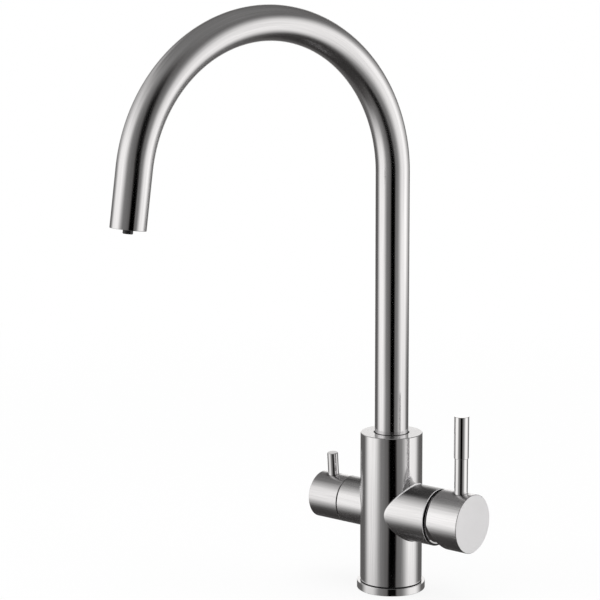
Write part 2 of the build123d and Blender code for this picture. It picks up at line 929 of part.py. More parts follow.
def make_rotor_seal():
    """Make the rubber ring round the rotor's neck."""
    bottom = rotor_seal_bottom()
    outer = rotor_neck_radius + slip_gap
    return mixer_frame * seal(outer, rotor_neck_radius - rotor_seal_depth, bottom, bottom + rotor_seal_height)


def make_pivot_pin():
    """Make the pin on which the stem tilts in the rotor."""
    reach = rotor_radius - pivot_pin_inset
    return mixer_frame * drilling(pivot_pin_radius, (0, -reach, pivot_station), (0, reach, pivot_station))


def make_cartridge_shell():
    """Make the cartridge's shell with its neck opening and the pocket that stops the rotor."""
    shell = rod(cartridge_radius, base_end, shell_end)
    shell -= rod(cartridge_radius - shell_wall, base_end - cut_overrun, shell_plate_start)
    shell -= rod(rotor_neck_radius + slip_gap + running_gap, base_end, shell_end + cut_overrun)
    shell -= sector(
        rotor_radius + loose_gap,
        rotor_radius - rotor_stop_width - loose_gap,
        shell_plate_start - cut_overrun,
        rotor_end + rotor_stop_height + slip_gap,
        temperature_half_range + rotor_stop_half_angle + angle_gap,
    )
    return mixer_frame * shell


def make_cartridge_nut():
    """Make the threaded nut that clamps the cartridge, with slots for its key."""
    nut = ring(nut_radius, nut_radius - nut_wall, shell_end, nut_end)
    reach = nut_radius + cut_overrun
    slot = block(nut_wall, nut_slot_width, nut_end - nut_slot_depth, nut_end + cut_overrun,
                 (nut_radius - nut_wall - nut_wall / 2 + nut_slot_depth, 0))
    for turn in range(nut_slot_count):
        nut -= Rot(0, 0, turn * 360 / nut_slot_count) * slot
    return mixer_frame * nut


def make_dome():
    """Make the thin domed cover over the nut, round the centre on which the lever tilts."""
    inner_radius = dome_radius - dome_wall

    def on_sphere(radius, distance):
        return (distance, pivot_station + sqrt(radius**2 - distance**2))

    outer_foot = (dome_foot_radius, dome_foot_end)
    outer_lip = on_sphere(dome_radius, dome_opening_radius)
    inner_lip = on_sphere(inner_radius, dome_opening_radius)
    inner_foot = on_sphere(inner_radius, sqrt(inner_radius**2 - (nut_end - pivot_station) ** 2))

    def arc(radius, start, end):
        middle = on_sphere(radius, (start[0] + end[0]) / 2)
        return ThreePointArc(*[(distance, 0, station) for distance, station in (start, middle, end)])

    def run(*points):
        return Polyline(*[(distance, 0, station) for distance, station in points])

    outline = (
        run(inner_foot, (nut_radius, nut_end), (nut_radius, dome_foot_end), outer_foot)
        + arc(dome_radius, outer_foot, outer_lip)
        + run(outer_lip, inner_lip)
        + arc(inner_radius, inner_lip, inner_foot)
    )
    return mixer_frame * revolve(make_face(outline), axis=Axis.Z)


def make_stem():
    """Make the cartridge's stem: ball, neck, flat tongue with its pin hole, and square end."""
    tongue_start = pivot_station - tongue_width / 2
    stem = Pos(0, 0, ball_station) * Sphere(ball_radius)
    stem += rod(stem_neck_radius, ball_station, tongue_start + edge_bevel)
    stem += block(tongue_width, tongue_thickness, tongue_start, square_start)
    square = block(stem_side, stem_side, square_start, stem_end)
    tip = square.faces().sort_by(Axis.Z)[-1]
    stem += chamfer(tip.edges(), edge_bevel)
    reach = tongue_thickness
    stem -= drilling(
        pivot_pin_radius + running_gap, (0, -reach, pivot_station), (0, reach, pivot_station)
    )
    return mixer_frame * stem


# Mixer lever
def make_lever_cap():
    """Make the hollow cap with its socket, its rod seat and the relief that lets it tilt."""
    cap = turned(
        [
            (0, cap_boss_start),
            (cap_boss_radius, cap_boss_start),
            (cap_boss_radius, cap_hollow_end),
            (cap_hollow_radius, cap_hollow_end),
            (cap_hollow_radius, cap_start),
            (cap_radius - edge_bevel, cap_start),
            (cap_radius, cap_start + edge_bevel),
            (cap_radius, cap_end - edge_bevel),
            (cap_radius - edge_bevel, cap_end),
            (0, cap_end),
        ]
    )
    reach = cap_radius + cut_overrun
    drop = reach * relief_slope
    wedge = Polyline(
        (0, 0, cap_start - cut_overrun),
        (0, 0, cap_start),
        (-reach, 0, cap_start + drop),
        (-reach, 0, cap_start - cut_overrun),
        close=True,
    )
    cap -= extrude(make_face(wedge), amount=reach, both=True)
    socket_side = stem_side + 2 * running_gap
    cap -= block(socket_side, socket_side, cap_boss_start - cut_overrun, stem_end + loose_gap)
    cap -= drilling(rod_thread_radius + running_gap, (0, 0, rod_station), (reach, 0, rod_station))
    cap -= drilling(rod_radius + running_gap, (rod_seat, 0, rod_station), (reach, 0, rod_station))
    return mixer_frame * cap


def upright_at(station):
    """Give the frame that stands on an arm's axis at a station, with local Z pointing up."""
    return Plane(origin=(0, 0, station), x_dir=(0, 1, 0), z_dir=(1, 0, 0)).location


def make_lever_rod():
    """Make the lever's rod with the thread below it and the thinner core inside the grip."""
    rod_top = rod_seat + rod_length
    core_top = rod_top + grip_length - grip_top
    outline = [
        (0, rod_seat - rod_thread_length),
        (rod_thread_radius, rod_seat - rod_thread_length),
        (rod_thread_radius, rod_seat),
        (rod_radius, rod_seat),
        (rod_radius, rod_top),
        (grip_core_radius, rod_top),
        (grip_core_radius, core_top),
        (0, core_top),
    ]
    return mixer_frame * upright_at(rod_station) * turned(outline)


def make_lever_grip():
    """Make the closed sleeve over the upper half of the lever."""
    bottom = rod_seat + rod_length
    top = bottom + grip_length
    bore = grip_core_radius + running_gap
    sleeve = turned(
        [
            (bore, bottom),
            (grip_radius - grip_edge, bottom),
            (grip_radius, bottom + grip_edge),
            (grip_radius, top - grip_edge),
            (grip_radius - grip_edge, top),
            (0, top),
            (0, top - grip_top),
            (bore, top - grip_top),
        ]
    )
    return mixer_frame * upright_at(rod_station) * sleeve


def make_lever_grub_screw():
    """Make the screw under the lever's rod that holds the cap on the stem."""
    screw = Pos(0, 0, stem_side / 2) * grub_screw(rod_thread_radius, lever_grub_length)
    return mixer_frame * upright_at(rod_station) * screw


# Filter valve
def make_valve_body():
    """Make the valve's brass body: threaded barrel with windows, hexagon and boss."""
    body = rod(valve_radius, valve_fixed_start, valve_hex_start)
    body += hexagon(valve_hex_half_flats, valve_hex_start, valve_hex_end)
    body += rod(valve_boss_radius, valve_hex_end, valve_boss_end)
    body -= rod(valve_cavity_radius, valve_fixed_start - cut_overrun, valve_cavity_end)
    body -= rod(spindle_shaft_radius + running_gap, valve_fixed_start, valve_boss_end + cut_overrun)
    window = sector(
        valve_radius + cut_overrun,
        valve_cavity_radius - cut_overrun,
        valve_moving_end + slip_gap,
        spindle_flange_start - slip_gap,
        valve_window_angle / 2,
    )
    for turn in range(valve_window_count):
        body -= Rot(0, 0, turn * 360 / valve_window_count) * window
    return filter_frame * body


def make_valve_seal():
    """Make the rubber ring between the fixed disc and the floor of the filter arm."""
    outer = valve_disc_radius
    return filter_frame * seal(outer, outer - valve_seal_wall, valve_seat, valve_fixed_start)


def make_valve_washer():
    """Make the flat washer under the valve's hexagon."""
    inner = valve_radius + slip_gap
    return filter_frame * ring(valve_hex_half_flats, inner, valve_washer_start, valve_hex_start)


def valve_disc(start, turn):
    """Make a ceramic disc with two opposite ports, turned about the arm's axis."""
    disc = rod(valve_disc_radius, start, start + valve_disc_height)
    for side in (0, 180):
        disc -= sector(
            valve_port_outer,
            valve_port_inner,
            start - cut_overrun,
            start + valve_disc_height + cut_overrun,
            valve_port_angle / 2,
            turn + side,
        )
    return disc


def spindle_leg(spread, start, end, half_angle):
    """Make the pair of legs, or the notches for them, that join the spindle to its disc."""
    outer = valve_disc_radius + spread
    inner = valve_disc_radius - spindle_leg_width - spread
    return [sector(outer, inner, start, end, half_angle, side) for side in (0, 180)]


def make_valve_fixed_disc():
    """Make the valve's fixed ceramic disc, with its ports up and down."""
    return filter_frame * valve_disc(valve_fixed_start, 0)


def make_valve_moving_disc():
    """Make the valve's turning disc, notched for the spindle's legs and closed at rest."""
    disc = valve_disc(valve_moving_start, 90)
    disc -= spindle_leg(
        running_gap,
        valve_moving_end - spindle_leg_bite - running_gap,
        valve_moving_end + cut_overrun,
        spindle_leg_angle / 2 + angle_gap,
    )
    return knob_turn * filter_frame * disc


def make_spindle():
    """Make the valve's spindle with its legs, flange, seal groove, clip groove and toothed end."""
    groove = spindle_seal_bottom()
    spindle = turned(
        [
            (0, spindle_flange_start),
            (valve_disc_radius, spindle_flange_start),
            (valve_disc_radius, spindle_flange_end),
            (spindle_shaft_radius, spindle_flange_end),
            (spindle_shaft_radius, groove),
            (spindle_shaft_radius - spindle_seal_depth, groove),
            (spindle_shaft_radius - spindle_seal_depth, groove + spindle_seal_height),
            (spindle_shaft_radius, groove + spindle_seal_height),
            (spindle_shaft_radius, clip_start),
            (spindle_shaft_radius - clip_depth, clip_start),
            (spindle_shaft_radius - clip_depth, clip_end),
            (spindle_shaft_radius, clip_end),
            (spindle_shaft_radius, clip_end + clip_height),
            (spline_radius - spline_depth, clip_end + clip_height),
            (spline_radius - spline_depth, spline_start),
            (0, spline_start),
        ]
    )
    spindle += spindle_leg(
        0, valve_moving_end - spindle_leg_bite, spindle_flange_start, spindle_leg_angle / 2
    )
    spindle += spline_bar(spline_radius, spline_depth, spline_start, spindle_end)
    return knob_turn * filter_frame * spindle


def spindle_seal_bottom():
    """Give the station of the spindle's seal, midway along its bearing."""
    return (valve_cavity_end + valve_hex_end - spindle_seal_height) / 2


def make_spindle_seal():
    """Make the rubber ring in the spindle's groove."""
    bottom = spindle_seal_bottom()
    inner = spindle_shaft_radius - spindle_seal_depth
    return knob_turn * filter_frame * seal(spindle_shaft_radius, inner, bottom, bottom + spindle_seal_height)


def make_spindle_clip():
    """Make the open spring clip that keeps the spindle in the valve."""
    inner = spindle_shaft_radius - clip_depth
    clip = sector(inner + clip_width, inner, clip_start, clip_end, 180 - clip_open_angle / 2)
    return knob_turn * filter_frame * clip


# Filter knob
def make_filter_knob():
    """Make the hollow knob with its toothed socket and the seat for its pin."""
    inner = stub_radius - knob_wall
    knob = turned(
        [
            (0, knob_boss_start),
            (knob_boss_radius, knob_boss_start),
            (knob_boss_radius, knob_hollow_end),
            (inner, knob_hollow_end),
            (inner, knob_start),
            (stub_radius - edge_bevel, knob_start),
            (stub_radius, knob_start + edge_bevel),
            (stub_radius, knob_end - edge_bevel),
            (stub_radius - edge_bevel, knob_end),
            (0, knob_end),
        ]
    )
    reach = stub_radius + cut_overrun
    socket_radius_at_crests = spline_radius + slip_gap
    knob -= spline_bar(socket_radius_at_crests, spline_depth, knob_boss_start - cut_overrun,
                       spindle_end + loose_gap)
    knob -= drilling(pin_thread_radius + running_gap, (0, 0, pin_station), (reach, 0, pin_station))
    knob -= drilling(pin_radius + running_gap, (pin_seat, 0, pin_station), (reach, 0, pin_station))
    return knob_turn * filter_frame * knob


def make_filter_pin():
    """Make the short pin that turns the filter knob, with the thread below it."""
    outline = [
        (0, pin_seat - pin_thread_length),
        (pin_thread_radius, pin_seat - pin_thread_length),
        (pin_thread_radius, pin_seat),
        (pin_radius, pin_seat),
        (pin_radius, pin_top - edge_bevel),
        (pin_radius - edge_bevel, pin_top),
        (0, pin_top),
    ]
    return knob_turn * filter_frame * upright_at(pin_station) * turned(outline)


def make_knob_grub_screw():
    """Make the screw under the pin that holds the knob on the spindle."""
    screw = Pos(0, 0, spline_radius) * grub_screw(pin_thread_radius, knob_grub_length)
    return knob_turn * filter_frame * upright_at(pin_station) * screw


knob_turn = Pos(0, 0, arm_height) * Rot(pin_rest_angle, 0, 0) * Pos(0, 0, -arm_height)

nodes = {
    "base_ring": make_base_ring(),
    "base_gasket": make_base_gasket(),
    "tap_body": make_body(),
    "retaining_screw": make_retaining_screw(),
    "spout_tube": make_spout_tube(),
    "spout_connector": make_spout_connector(),
    "glide_ring_lower": make_glide_ring("glide_ring_lower"),
    "glide_ring_upper": make_glide_ring("glide_ring_upper"),
    "spout_seal_lower": make_spout_seal("spout_seal_lower"),
    "spout_seal_upper": make_spout_seal("spout_seal_upper"),
    "nipple_seal": make_nipple_seal(),
    "filtered_water_hose": make_filtered_hose(),
    "filtered_water_nozzle": make_nozzle(),
    "outlet_collar": make_outlet_collar(),
    "aerator_washer": make_aerator_washer(),
    "aerator_housing": make_aerator_housing(),
    "aerator_mesh": make_aerator_mesh(),
    "cartridge_base": make_cartridge_base(),
    "cartridge_port_seals": make_port_seals(),
    "cartridge_shell": make_cartridge_shell(),
    "cartridge_nut": make_cartridge_nut(),
    "cartridge_dome": make_dome(),
    "mixer_fixed_disc": make_fixed_disc(),
    "mixer_moving_disc": make_moving_disc(),
    "mixer_disc_carrier": make_disc_carrier(),
    "mixer_rotor": make_rotor(),
    "mixer_rotor_seal": make_rotor_seal(),
    "mixer_pivot_pin": make_pivot_pin(),
    "mixer_stem": make_stem(),
    "lever_cap": make_lever_cap(),
    "lever_rod": make_lever_rod(),
    "lever_grip": make_lever_grip(),
    "lever_grub_screw": make_lever_grub_screw(),
    "filter_valve_body": make_valve_body(),
    "filter_valve_seal": make_valve_seal(),
    "filter_valve_washer": make_valve_washer(),
    "filter_fixed_disc": make_valve_fixed_disc(),
    "filter_moving_disc": make_valve_moving_disc(),
    "filter_spindle": make_spindle(),
    "filter_spindle_seal": make_spindle_seal(),
    "filter_spindle_clip": make_spindle_clip(),
    "filter_knob": make_filter_knob(),
    "filter_pin": make_filter_pin(),
    "filter_grub_screw": make_knob_grub_screw(),
}

os.makedirs("parts", exist_ok=True)
for node_name, node in nodes.items():
    export_step(node, f"parts/{node_name}.step")
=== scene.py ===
"""Looks of a three-way kitchen tap in brushed steel, for plain and filtered water."""
import logging
import math
from abc import ABC, abstractmethod
from dataclasses import dataclass
from enum import Enum, IntEnum
from functools import cache
from typing import ClassVar, Iterable, NamedTuple, Optional, Union

import bmesh
import bpy
from bmesh.types import BMEdge, BMesh, BMVert
from bpy.types import ID, Material, NodeSocket, NodeTree, Object
from mathutils import Matrix, Vector


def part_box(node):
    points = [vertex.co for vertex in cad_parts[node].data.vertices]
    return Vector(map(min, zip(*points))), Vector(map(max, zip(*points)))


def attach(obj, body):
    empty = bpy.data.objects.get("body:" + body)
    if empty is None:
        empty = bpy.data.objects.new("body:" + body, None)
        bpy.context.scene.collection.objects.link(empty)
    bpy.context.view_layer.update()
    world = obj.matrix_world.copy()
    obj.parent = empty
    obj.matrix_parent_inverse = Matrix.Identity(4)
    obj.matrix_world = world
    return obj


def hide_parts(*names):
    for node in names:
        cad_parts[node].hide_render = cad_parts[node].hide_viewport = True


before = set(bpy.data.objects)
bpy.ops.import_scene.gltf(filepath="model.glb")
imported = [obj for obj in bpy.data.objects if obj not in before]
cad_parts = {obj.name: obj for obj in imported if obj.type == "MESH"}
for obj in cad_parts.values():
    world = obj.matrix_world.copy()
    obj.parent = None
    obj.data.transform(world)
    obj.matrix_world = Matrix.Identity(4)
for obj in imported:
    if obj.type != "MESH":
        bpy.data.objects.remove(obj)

log = logging.getLogger("kitchen_tap")

Term = Union["Wire", float]
Sockets = dict[Union[int, str], object]
Triple = tuple[float, float, float]
Points = tuple[tuple[float, float], ...]

# Sizes that pieces and finishes share, in metres and radians
NECK_RADIUS = 0.0125
BARREL_RADIUS = 0.023
BARREL_TOP = 0.1185
ARM_AXIS = (0.0, 0.0, 0.061)
MIXER_ARM_END = 0.0437
ARM_BLEND = 0.0012
LINE_WIDTH = 0.0006
CAP_SEAT = (0.0628, 0.0, 0.0816)
KNOB_SEAT = (-0.0537, -0.00126, 0.0781)
ARCH_RADIUS = 0.109
ARCH_HEIGHT = 0.3115
ARCH_SWEEP = math.radians(172)
OUTLET_LENGTH = 0.040
SPOUT_TURN = math.radians(-105)

FULL_TURN = 2 * math.pi
NECK_MAP = "Along"
BRASS = (0.72, 0.52, 0.24)
WHITE = (1.0, 1.0, 1.0, 1.0)


class Axis(IntEnum):
    """An axis of the tap's frame that a lathe or a band follows."""

    ALONG_ARMS = 0
    UPRIGHT = 2


class Grain(Enum):
    """Which way the brush ran over a piece."""

    ALONG_ARMS = "along the arms"
    BARREL_AND_ARMS = "upright on the barrel and along on its arms"
    ALONG_NECK = "along the bent neck"


class Noise(NamedTuple):
    """A kind of noise: cells in a metre, finer octaves added, and how much these count."""

    cells: float
    octaves: float = 2.0
    fineness: float = 0.5


class Fade(NamedTuple):
    """A smooth change of level while a value goes from low to high."""

    low: float
    high: float
    start: float = 0.0
    end: float = 1.0


# Shader graphs
class Wire:
    """One value or place in a shader graph, on which sums are written as plain Python."""

    def __init__(self, graph: "ShaderGraph", socket: NodeSocket) -> None:
        """Keep the graph and the output socket that carries the value."""
        self.graph = graph
        self.socket = socket

    def also(self, output: str) -> "Wire":
        """Give another output of the same node."""
        return Wire(self.graph, self.socket.node.outputs[output])

    def maths(self, operation: str, *others: Term) -> "Wire":
        """Add one Math node that starts from this value."""
        return self.graph.maths(operation, self, *others)

    def __add__(self, other: Term) -> "Wire":
        """Add."""
        return self.maths("ADD", other)

    __radd__ = __add__

    def __sub__(self, other: Term) -> "Wire":
        """Subtract."""
        return self.maths("SUBTRACT", other)

    def __rsub__(self, other: Term) -> "Wire":
        """Subtract this from a number."""
        return self.graph.maths("SUBTRACT", other, self)

    def __mul__(self, other: Term) -> "Wire":
        """Multiply."""
        return self.maths("MULTIPLY", other)

    __rmul__ = __mul__

    def magnitude(self) -> "Wire":
        """Give the value without its sign."""
        return self.maths("ABSOLUTE")

    def larger(self, other: Term) -> "Wire":
        """Give the larger of two values."""
        return self.maths("MAXIMUM", other)

    def swing(self, span: float) -> "Wire":
        """Turn a pattern about 0.5 into one about 0, by the span between its extremes."""
        return (self - 0.5) * span

    def wave(self, pitch: float) -> "Wire":
        """Give a wave about 0.5 that repeats at a pitch."""
        return (self * (FULL_TURN / pitch)).maths("SINE") * 0.5 + 0.5

    def towards(self, other: Term, share: Term) -> "Wire":
        """Move from this value to another, by a share from 0 to 1."""
        return self + (other - self) * share

    def scaling(self, factor: float) -> "Wire":
        """Turn a mask into a multiplier: the factor on the mask and 1 off it."""
        return self * (factor - 1) + 1.0

    def fade(self, low: float, high: float, start: float = 0.0, end: float = 1.0) -> "Wire":
        """Ease from a start to an end level while this value goes from low to high."""
        sockets = {"Value": self, "From Min": low, "From Max": high, "To Min": start, "To Max": end}
        return self.graph.node("ShaderNodeMapRange", sockets, interpolation_type="SMOOTHSTEP")

    def split(self) -> "tuple[Wire, Wire, Wire]":
        """Give a place's three numbers."""
        first = self.graph.node("ShaderNodeSeparateXYZ", {0: self})
        return first, first.also("Y"), first.also("Z")

    def length(self) -> "Wire":
        """Give a place's distance from the origin."""
        return self.graph.node("ShaderNodeVectorMath", {0: self}, "Value", operation="LENGTH")

    def seen_from(self, middle: Triple) -> "Wire":
        """Give a place as seen from a middle."""
        return self.graph.node("ShaderNodeVectorMath", {0: self, 1: middle}, operation="SUBTRACT")

    def stretched(self, scale: Triple) -> "Wire":
        """Scale a place by a different amount along each axis."""
        return self.graph.node("ShaderNodeVectorMath", {0: self, 1: scale}, operation="MULTIPLY")

    def off_axis(self, axis: Axis) -> "Wire":
        """Give a place's distance from an axis."""
        return self.stretched(tuple(float(index != axis) for index in range(3))).length()

    def noise(self, kind: Noise) -> "Wire":
        """Give smooth noise about 0.5."""
        sockets = {0: self, "Scale": kind.cells, "Detail": kind.octaves, "Roughness": kind.fineness}
        return self.graph.node("ShaderNodeTexNoise", sockets, "Fac")


class ShaderGraph:
    """A node tree, with the one method that adds its nodes."""

    def __init__(self, tree: NodeTree) -> None:
        """Start from an empty tree."""
        self.tree = tree
        self.tree.nodes.clear()

    def node(
        self,
        kind: str,
        sockets: Optional[Sockets] = None,
        output: Union[int, str] = 0,
        **settings: object,
    ) -> Wire:
        """Add a node.

        Args:
            kind: The node's type.
            sockets: Values or wires for its inputs, by name or place.
            output: The output that is wanted, by name or place.
            settings: The node's own settings, set before its sockets.

        Returns:
            A wire from the wanted output, or for a closing node, which has none, its first input.
        """
        made = self.tree.nodes.new(kind)
        for name, value in settings.items():
            setattr(made, name, value)
        for name, value in (sockets or {}).items():
            if isinstance(value, Wire):
                self.tree.links.new(value.socket, made.inputs[name])
            else:
                made.inputs[name].default_value = value
        return Wire(self, made.outputs[output] if made.outputs else made.inputs[0])

    def maths(self, operation: str, *terms: Term) -> Wire:
        """Add one Math node, with the values or wires of its sockets in order."""
        return self.node("ShaderNodeMath", dict(enumerate(terms)), operation=operation)

    def place(self) -> Wire:
        """Give the place on the piece, in metres."""
        return self.node("ShaderNodeTexCoord", output="Object")

    def seen(self) -> Wire:
        """Give 1 to the eye, also by way of gloss or glass, and 0 to all other light."""
        light = self.node("ShaderNodeLightPath", output="Is Camera Ray")
        return light.larger(light.also("Is Glossy Ray")).larger(light.also("Is Transmission Ray"))

    def tinted(self, colour: Triple, level: Wire) -> Wire:
        """Give a colour whose brightness follows a wire.

        Args:
            colour: The colour at a level of 1.
            level: The brightness.

        Returns:
            The colour times the level.
        """
        whole = self.node("ShaderNodeCombineColor", {0: level, 1: level, 2: level})
        sockets = {0: 1.0, 6: whole, 7: (*colour, 1.0)}
        return self.node("ShaderNodeMix", sockets, 2, data_type="RGBA", blend_type="MULTIPLY")

    def blended(self, low: Triple, high: Triple, share: Wire) -> Wire:
        """Give a colour between two, by a wire from 0 to 1."""
        sockets = {0: share, 6: (*low, 1.0), 7: (*high, 1.0)}
        return self.node("ShaderNodeMix", sockets, 2, data_type="RGBA")

    def relief(self, height: Wire, depth: float) -> Wire:
        """Turn a height pattern into a bump of a real depth in metres."""
        return self.node("ShaderNodeBump", {"Height": height, "Strength": 1.0, "Distance": depth})


def new_material(name: str) -> tuple[Material, ShaderGraph]:
    """Make a material that has no node yet.

    Args:
        name: The material's name.

    Returns:
        The material and its graph.
    """
    made = bpy.data.materials.new(name)
    made.use_nodes = True
    return made, ShaderGraph(made.node_tree)


# Finishes
@dataclass
class Skin:
    """A surface while it is drawn: its relief, brightness, roughness and metal."""

    place: Wire
    relief: Wire
    level: Wire
    rough: Wire
    metal: Term = 1.0


@dataclass(frozen=True, kw_only=True)
class Finish(ABC):
    """What every finish has. The depth of its relief is in metres."""

    name: str
    colour: Triple
    roughness: float
    depth: float
    least_roughness: float = 0.05

    @abstractmethod
    def draw(self, place: Wire) -> Skin:
        """Draw the surface from the place on the piece."""

    def constants(self) -> Sockets:
        """Give the further sockets that are the same all over the surface."""
        return {}

    @cache
    def material(self) -> Material:
        """Make the finish's material, once for all the pieces that have it.

        Returns:
            A material with the constants set and the surface wired in.
        """
        made, graph = new_material(self.name)
        made.diffuse_color = (*self.colour, 1.0)
        skin = self.draw(graph.place())
        sockets = {
            **self.constants(),
            "Base Color": graph.tinted(self.colour, skin.level),
            "Roughness": skin.rough.larger(self.least_roughness),
            "Metallic": skin.metal,
            "Normal": graph.relief(skin.relief, self.depth),
        }
        shader = graph.node("ShaderNodeBsdfPrincipled", sockets)
        graph.node("ShaderNodeOutputMaterial", {"Surface": shader})
        return made


@dataclass(frozen=True)
class Mark(ABC):
    """A part of a brushed piece that looks unlike the surface round it."""

    @abstractmethod
    def draw(self, skin: Skin) -> None:
        """Change the skin where the mark lies."""


def on_arms(place: Wire) -> Wire:
    """Give 1 on the barrel's arms and 0 on the barrel, with a short blend between."""
    return place.off_axis(Axis.UPRIGHT).fade(BARREL_RADIUS, BARREL_RADIUS + ARM_BLEND)


@dataclass(frozen=True)
class DullArmsWithPaintedTopShade(Mark):
    """The barrel's arms: duller than the barrel, with painted shade in ragged streaks on top."""

    duller: float = 0.15
    heights: tuple[float, float] = (0.0757, 0.0794)
    level: float = 0.3
    raggedness: float = 0.012

    def draw(self, skin: Skin) -> None:
        """Dull the arms and paint shade on their tops.

        Args:
            skin: The surface, which is changed.
        """
        here = on_arms(skin.place)
        edge = skin.place.split()[Axis.UPRIGHT] + skin.relief.swing(self.raggedness)
        # Painted shade: the arms' tops darkened in ragged streaks.
        painted_top_shade = edge.fade(*self.heights) * here
        skin.rough = skin.rough + here * self.duller
        skin.level = skin.level * painted_top_shade.scaling(self.level)


@dataclass(frozen=True)
class BendHaze(Mark):
    """The duller skin of the neck's bend, which a brush can't follow as closely."""

    duller: float = 0.1
    below: float = 0.025
    above: float = 0.04

    def draw(self, skin: Skin) -> None:
        """Dull the neck from a little below the bend upwards."""
        rise = (ARCH_HEIGHT - self.below, ARCH_HEIGHT + self.above, 0.0, self.duller)
        skin.rough = skin.rough + skin.place.split()[Axis.UPRIGHT].fade(*rise)


@dataclass(frozen=True)
class EndFace(Mark):
    """A flat end face, by the axis that it stands across and where it starts."""

    axis: Axis
    start: float
    edge: float = 0.00008

    def share(self, place: Wire) -> Wire:
        """Give 1 on the end face, otherwise 0."""
        outward = place.split()[self.axis] * math.copysign(1.0, self.start)
        return outward.fade(abs(self.start) - self.edge, abs(self.start))


@dataclass(frozen=True)
class TurnedEnd(EndFace):
    """An end face that was turned on a lathe, with the tool's rings under fine speckle."""

    middle: Triple = (0.0, 0.0, 0.0)
    roughness: float = 0.3
    metal: float = 0.55
    level: float = 1.1
    ring_pitch: float = 0.0006
    ring_share: float = 0.35
    speckle: Noise = Noise(2600.0, 2.0, 0.6)
    clouds: Noise = Noise(55.0)
    contrast: float = 0.2
    cloud_contrast: float = 0.1

    def draw(self, skin: Skin) -> None:
        """Draw the rings and give the face its own brightness.

        Args:
            skin: The surface, which is changed.
        """
        here = self.share(skin.place)
        rings = skin.place.seen_from(self.middle).off_axis(self.axis).wave(self.ring_pitch)
        speckled = skin.place.noise(self.speckle) * (1 - self.ring_share)
        skin.relief = skin.relief.towards(rings * self.ring_share + speckled, here)
        skin.rough = skin.rough.towards(self.roughness, here)
        clouded = skin.place.noise(self.clouds).swing(self.cloud_contrast)
        level = skin.relief.swing(self.contrast) + clouded + self.level
        skin.level = skin.level.towards(level, here)
        skin.metal = here.scaling(self.metal)


@dataclass(frozen=True)
class PaintedShadeEnd(EndFace):
    """An end face behind a cap, darkened with painted shade."""

    level: float = 0.06

    def draw(self, skin: Skin) -> None:
        """Paint shade on the face."""
        skin.level = skin.level * self.share(skin.place).scaling(self.level)


@dataclass(frozen=True)
class PaintedShadeSeat(Mark):
    """Where a rod stands in the surface, with a ring of painted shade round it."""

    middle: Triple
    radius: float
    width: float = 0.0026
    darkest: float = 0.35

    def draw(self, skin: Skin) -> None:
        """Paint shade on the surface towards the rod."""
        ring = (self.radius, self.radius + self.width, self.darkest, 1.0)
        skin.level = skin.level * skin.place.seen_from(self.middle).length().fade(*ring)


@dataclass(frozen=True)
class PaintedLightBand(Mark):
    """A narrow band: a broken edge rubbed to a satin, with a painted highlight, or a joint under
    painted shade.

    It lies between two places along its axis, or with no axis, between two distances from the
    upright one. It rises to its full strength between two heights.
    """

    axis: Optional[Axis]
    start: float
    end: float
    heights: tuple[float, float] = (-0.001, 0.0)
    level: float = 1.15
    roughness: float = 0.38
    metal: float = 0.3
    ramp: float = 0.00006

    def share(self, place: Wire) -> Wire:
        """Give 1 on the band, otherwise 0.

        Args:
            place: The place on the piece.

        Returns:
            The band's mask.
        """
        numbers = place.split()
        measure = place.off_axis(Axis.UPRIGHT) if self.axis is None else numbers[self.axis]
        rise = numbers[Axis.UPRIGHT].fade(*self.heights)
        rise = measure.fade(self.start, self.start + self.ramp) * rise
        return rise * measure.fade(self.end - self.ramp, self.end, 1.0, 0.0)

    def draw(self, skin: Skin) -> None:
        """Give the band its painted brightness and its own roughness and metal.

        Args:
            skin: The surface, which is changed.
        """
        here = self.share(skin.place)
        skin.rough = skin.rough.towards(self.roughness, here)
        skin.level = skin.level.towards(self.level, here)
        skin.metal = here.scaling(self.metal) * skin.metal


